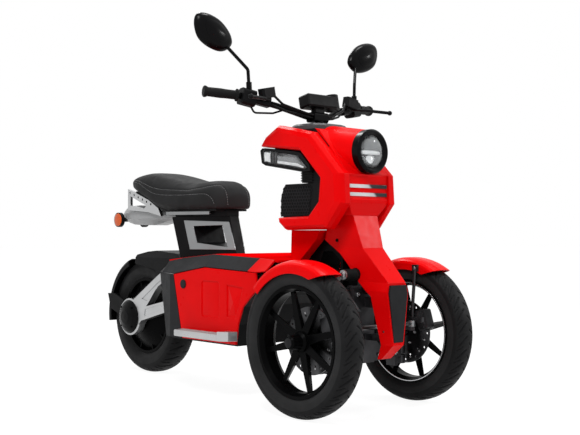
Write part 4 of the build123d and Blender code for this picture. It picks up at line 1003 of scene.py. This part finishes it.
def front_bolts(side, sign):
    """Rivets, bolts, rim ring and cap of a front wheel, and the bolt of its fender."""
    hub = Shape()
    for angle in even_angles(RIVETS, 0.5):
        x, z = RIVET_CIRCLE * math.cos(angle), FRONT_R + RIVET_CIRCLE * math.sin(angle)
        for face, out in RIVET_FACES:
            bolt(hub, ahead(x, sign * (WHEEL_Y + face), z), (0, sign * out, 0), RIVET)
    for angle in even_angles(DISC_BOLTS):
        x, z = DISC_BOLT_CIRCLE * math.cos(angle), FRONT_R + DISC_BOLT_CIRCLE * math.sin(angle)
        bolt(hub, ahead(x, sign * (WHEEL_Y + DISC_BOLT_Y), z), (0, -sign, 0), DISC_BOLT)
    hub.lathe(RIM_RING, ahead(0, sign * WHEEL_Y, FRONT_R), (0, sign, 0), segments=96)
    hub.make(f"hub_bolts_{side}", STEEL, f"wheel_front_{side}", 30.0)
    cap = Shape()
    cap.lathe(HUB_CAP, ahead(0, sign * (WHEEL_Y + HUB_CAP_Y), FRONT_R), (0, sign, 0), segments=32)
    cap.make(f"hub_cover_{side}", MAT, f"wheel_front_{side}", 40.0)
    guard = Shape()
    x, y, z = FENDER_PLACE
    bolt(guard, ahead(x, sign * (WHEEL_Y + y), FRONT_R + z), (0, -sign, 0), FENDER_BOLT)
    guard.make(f"fender_bolts_{side}", STEEL, f"knuckle_{side}", 30.0)


def chassis_bolts():
    """Bolts of the rear axle, swingarm pivots, front links and cowl, and the caps of the damper."""
    fixed, dark, caps = Shape(), Shape(), Shape()
    for sign in (1, -1):
        for angle in even_angles(AXLE_BOLTS, 0.5):
            c, s = math.cos(angle), math.sin(angle)
            bolt(dark, at(AXLE_BOLT_CIRCLE * c, sign * AXLE_BOLT_Y, REAR_R + AXLE_BOLT_CIRCLE * s),
                 (AXLE_SLOPE * c, AXLE_OUT * sign, AXLE_SLOPE * s), AXLE_BOLT)
        for x, z in PIVOT_PLACES:
            bolt(fixed, at(x, sign * PIVOT_Y, z), (0, sign, 0), PIVOT_BOLT)
        for z in LINK_Z:
            for y in LINK_Y:
                bolt(fixed, ahead(LINK_X, sign * y, z), (1, 0, 0), LINK_BOLT)
        x, y, z = DAMPER_PLACE
        caps.lathe(DAMPER_CAP, ahead(x, sign * y, z), (0, sign, 0), segments=32)
        x, y, z = COWL_PLACE
        bolt(dark, ahead(x, sign * y, z), (COWL_LEAN, sign, 0), COWL_BOLT)
    fixed.make("frame_bolts", STEEL, "chassis", 30.0)
    # damper caps in the darker aluminium copy, painted shade
    caps.make("damper_caps", SILVER_PAINTED_SHADE, "chassis", 30.0)
    dark.make("cover_bolts", BLACK_METAL, "chassis", 30.0)


def hose_union():
    union = Shape()
    union.lathe(UNION, at(*UNION_PLACE), UNION_RUN, segments=20)
    union.make("hose_union", BRASS, "handlebar", 30.0)


for side, sign in SIDES:
    front_bolts(side, sign)
chassis_bolts()
hose_union()


# Ribs: bracket under the side lamps and treads on the footboards

# Limits of the ribs; along the row, the first place, the pitch and the size
BRACKET_X, BRACKET_Y = (WHEELBASE - 192, WHEELBASE - 134), (96.5, 100.5)
BRACKET_RIBS, BRACKET_Z, BRACKET_PITCH, BRACKET_RIB = 6, 783, 9, 4.5
TREAD_X, TREAD_Z = (548, WHEELBASE - 440), (239.8, 241.4)
TREAD_RIBS, TREAD_Y, TREAD_PITCH, TREAD_HALF = 5, 247, 5.2, 1.0


def box(shape, xs, ys, zs):
    """Box between two limits on each axis."""
    (x0, x1), (y0, y1) = xs, ys
    corners = ((x0, y0), (x1, y0), (x1, y1), (x0, y1))
    points = [at(x, y, z) for z in zs for x, y in corners]
    shape.add(points, [(3, 2, 1, 0), (4, 5, 6, 7), (0, 1, 5, 4), (1, 2, 6, 5), (2, 3, 7, 6), (3, 0, 4, 7)])


def ribs():
    bracket, treads = Shape(), Shape()
    for sign in (1, -1):
        for k in range(BRACKET_RIBS):
            low = BRACKET_Z + BRACKET_PITCH * k
            box(bracket, BRACKET_X, [sign * y for y in BRACKET_Y], (low, low + BRACKET_RIB))
        for k in range(TREAD_RIBS):
            y = TREAD_Y + TREAD_PITCH * k
            box(treads, TREAD_X, (sign * (y - TREAD_HALF), sign * (y + TREAD_HALF)), TREAD_Z)
    bracket.make("lamp_bracket_ribs", BLACK, "chassis", 20.0)
    treads.make("footboard_treads", SILVER, "chassis", 20.0)


ribs()


# Pressings: low pyramids in the sunk fields of the side panels

# Outlines: x ahead of the front axle, z
FIELDS = [
    [(-588, 298), (-588, 419), (-495, 419), (-495, 298)],
    [(-439, 303), (-439, 409), (-362, 402), (-377, 352), (-398, 303)],
]
PANEL_Y, FIELD_DEPTH, FIELD_SEAT, PRESSING = 231.0, 3.0, 0.2, 6.5
FIELD_Y = PANEL_Y - FIELD_DEPTH


def pressings():
    for side, sign in SIDES:
        pressed = Shape()
        for field in FIELDS:
            middle_x, middle_z = np.mean(field, axis=0)
            rim = [ahead(x, sign * (FIELD_Y + FIELD_SEAT), z) for x, z in field]
            pressed.fan(rim, ahead(middle_x, sign * (FIELD_Y + PRESSING), middle_z), sign < 0)
        pressed.make(f"panel_pressings_{side}", RED, "chassis", 10.0)


pressings()


# Camera, light and floor

# Camera: place and lens in millimetres, pitch and turn in degrees
CAMERA_PLACE = (3569.54, -2454.0, 604.83)
CAMERA_PITCH, CAMERA_TURN = 90.8575, 47.676
CAMERA_LENS, CAMERA_SENSOR = 61.06, 36.0
LIGHT_AIM = Vector((0.05, 0, 0.6))
# Columns: name, azimuth and elevation in degrees, distance and size in metres, watts
LIGHTS = [
    ("key", 36.0, 46.0, 3.6, 0.9, 68.0),
    ("front", 135.0, 21.6, 3.8, 0.45, 28.0),
    ("top", 150.0, 76.0, 3.2, 0.7, 36.0),
    ("back", 251.0, 54.0, 3.5, 0.7, 36.0),
]
SKY_LIGHT = 0.40
FLOOR_REACH, FLOOR_COLOUR, FLOOR_GLOW, FLOOR_MIX = 30.0, (0.86, 0.86, 0.86, 1), 1.17, 0.80


def camera():
    data = bpy.data.cameras.new("camera")
    data.lens = CAMERA_LENS
    data.sensor_width = CAMERA_SENSOR
    made = add_object("camera", data)
    made.location = at(*CAMERA_PLACE)
    made.rotation_euler = (math.radians(CAMERA_PITCH), 0, math.radians(CAMERA_TURN))
    bpy.context.scene.camera = made


def light(name, azimuth, elevation, distance, size, power):
    """Soft square light aimed at the middle of the object; azimuth 0 stands at -Y."""
    a, e = math.radians(azimuth), math.radians(elevation)
    back = Vector((math.sin(a) * math.cos(e), -math.cos(a) * math.cos(e), math.sin(e)))
    data = bpy.data.lights.new(name, "AREA")
    data.shape = "SQUARE"
    data.size = size
    data.energy = power
    made = add_object(name, data)
    made.location = LIGHT_AIM + back * distance
    made.rotation_euler = (-back).to_track_quat("-Z", "Y").to_euler()


def larger(tree, first, second):
    node = tree.nodes.new("ShaderNodeMath")
    node.operation = "MAXIMUM"
    link(tree, first, node.inputs[0])
    link(tree, second, node.inputs[1])
    return node.outputs[0]


def seen_directly(tree):
    """1 for camera, glossy and transmission rays, else 0."""
    rays = tree.nodes.new("ShaderNodeLightPath").outputs
    first = larger(tree, rays["Is Camera Ray"], rays["Is Glossy Ray"])
    return larger(tree, first, rays["Is Transmission Ray"])


def world():
    """White where it is seen, and dimmer as a light."""
    made = bpy.data.worlds.new("studio")
    made.use_nodes = True
    tree = made.node_tree
    background = tree.nodes["Background"]
    background.inputs["Color"].default_value = (1, 1, 1, 1)
    link(tree, spread(tree, seen_directly(tree), SKY_LIGHT, 1.0, 0.0, 1.0), background.inputs["Strength"])
    bpy.context.scene.world = made


def floor():
    """Pale floor that keeps the shadow, with a glow that carries it to white where it is seen."""
    mesh = bpy.data.meshes.new("floor")
    corners = [(FLOOR_REACH * x, FLOOR_REACH * y, 0) for x, y in ((-1, -1), (1, -1), (1, 1), (-1, 1))]
    mesh.from_pydata(corners, [], [(0, 1, 2, 3)])
    material, tree = node_material("pale_floor")
    tree.nodes.remove(tree.nodes["Principled BSDF"])
    diffuse = tree.nodes.new("ShaderNodeBsdfDiffuse")
    diffuse.inputs["Color"].default_value = FLOOR_COLOUR
    glow = tree.nodes.new("ShaderNodeEmission")
    glow.inputs["Strength"].default_value = FLOOR_GLOW
    mix = tree.nodes.new("ShaderNodeMixShader")
    link(tree, spread(tree, seen_directly(tree), 0.0, FLOOR_MIX, 0.0, 1.0), mix.inputs["Fac"])
    link(tree, diffuse.outputs[0], mix.inputs[1])
    link(tree, glow.outputs[0], mix.inputs[2])
    link(tree, mix.outputs[0], tree.nodes["Material Output"].inputs["Surface"])
    mesh.materials.append(material)
    made = add_object("floor", mesh)


camera()
for row in LIGHTS:
    light(*row)
world()
floor()
bpy.context.scene.view_settings.view_transform = "Standard"
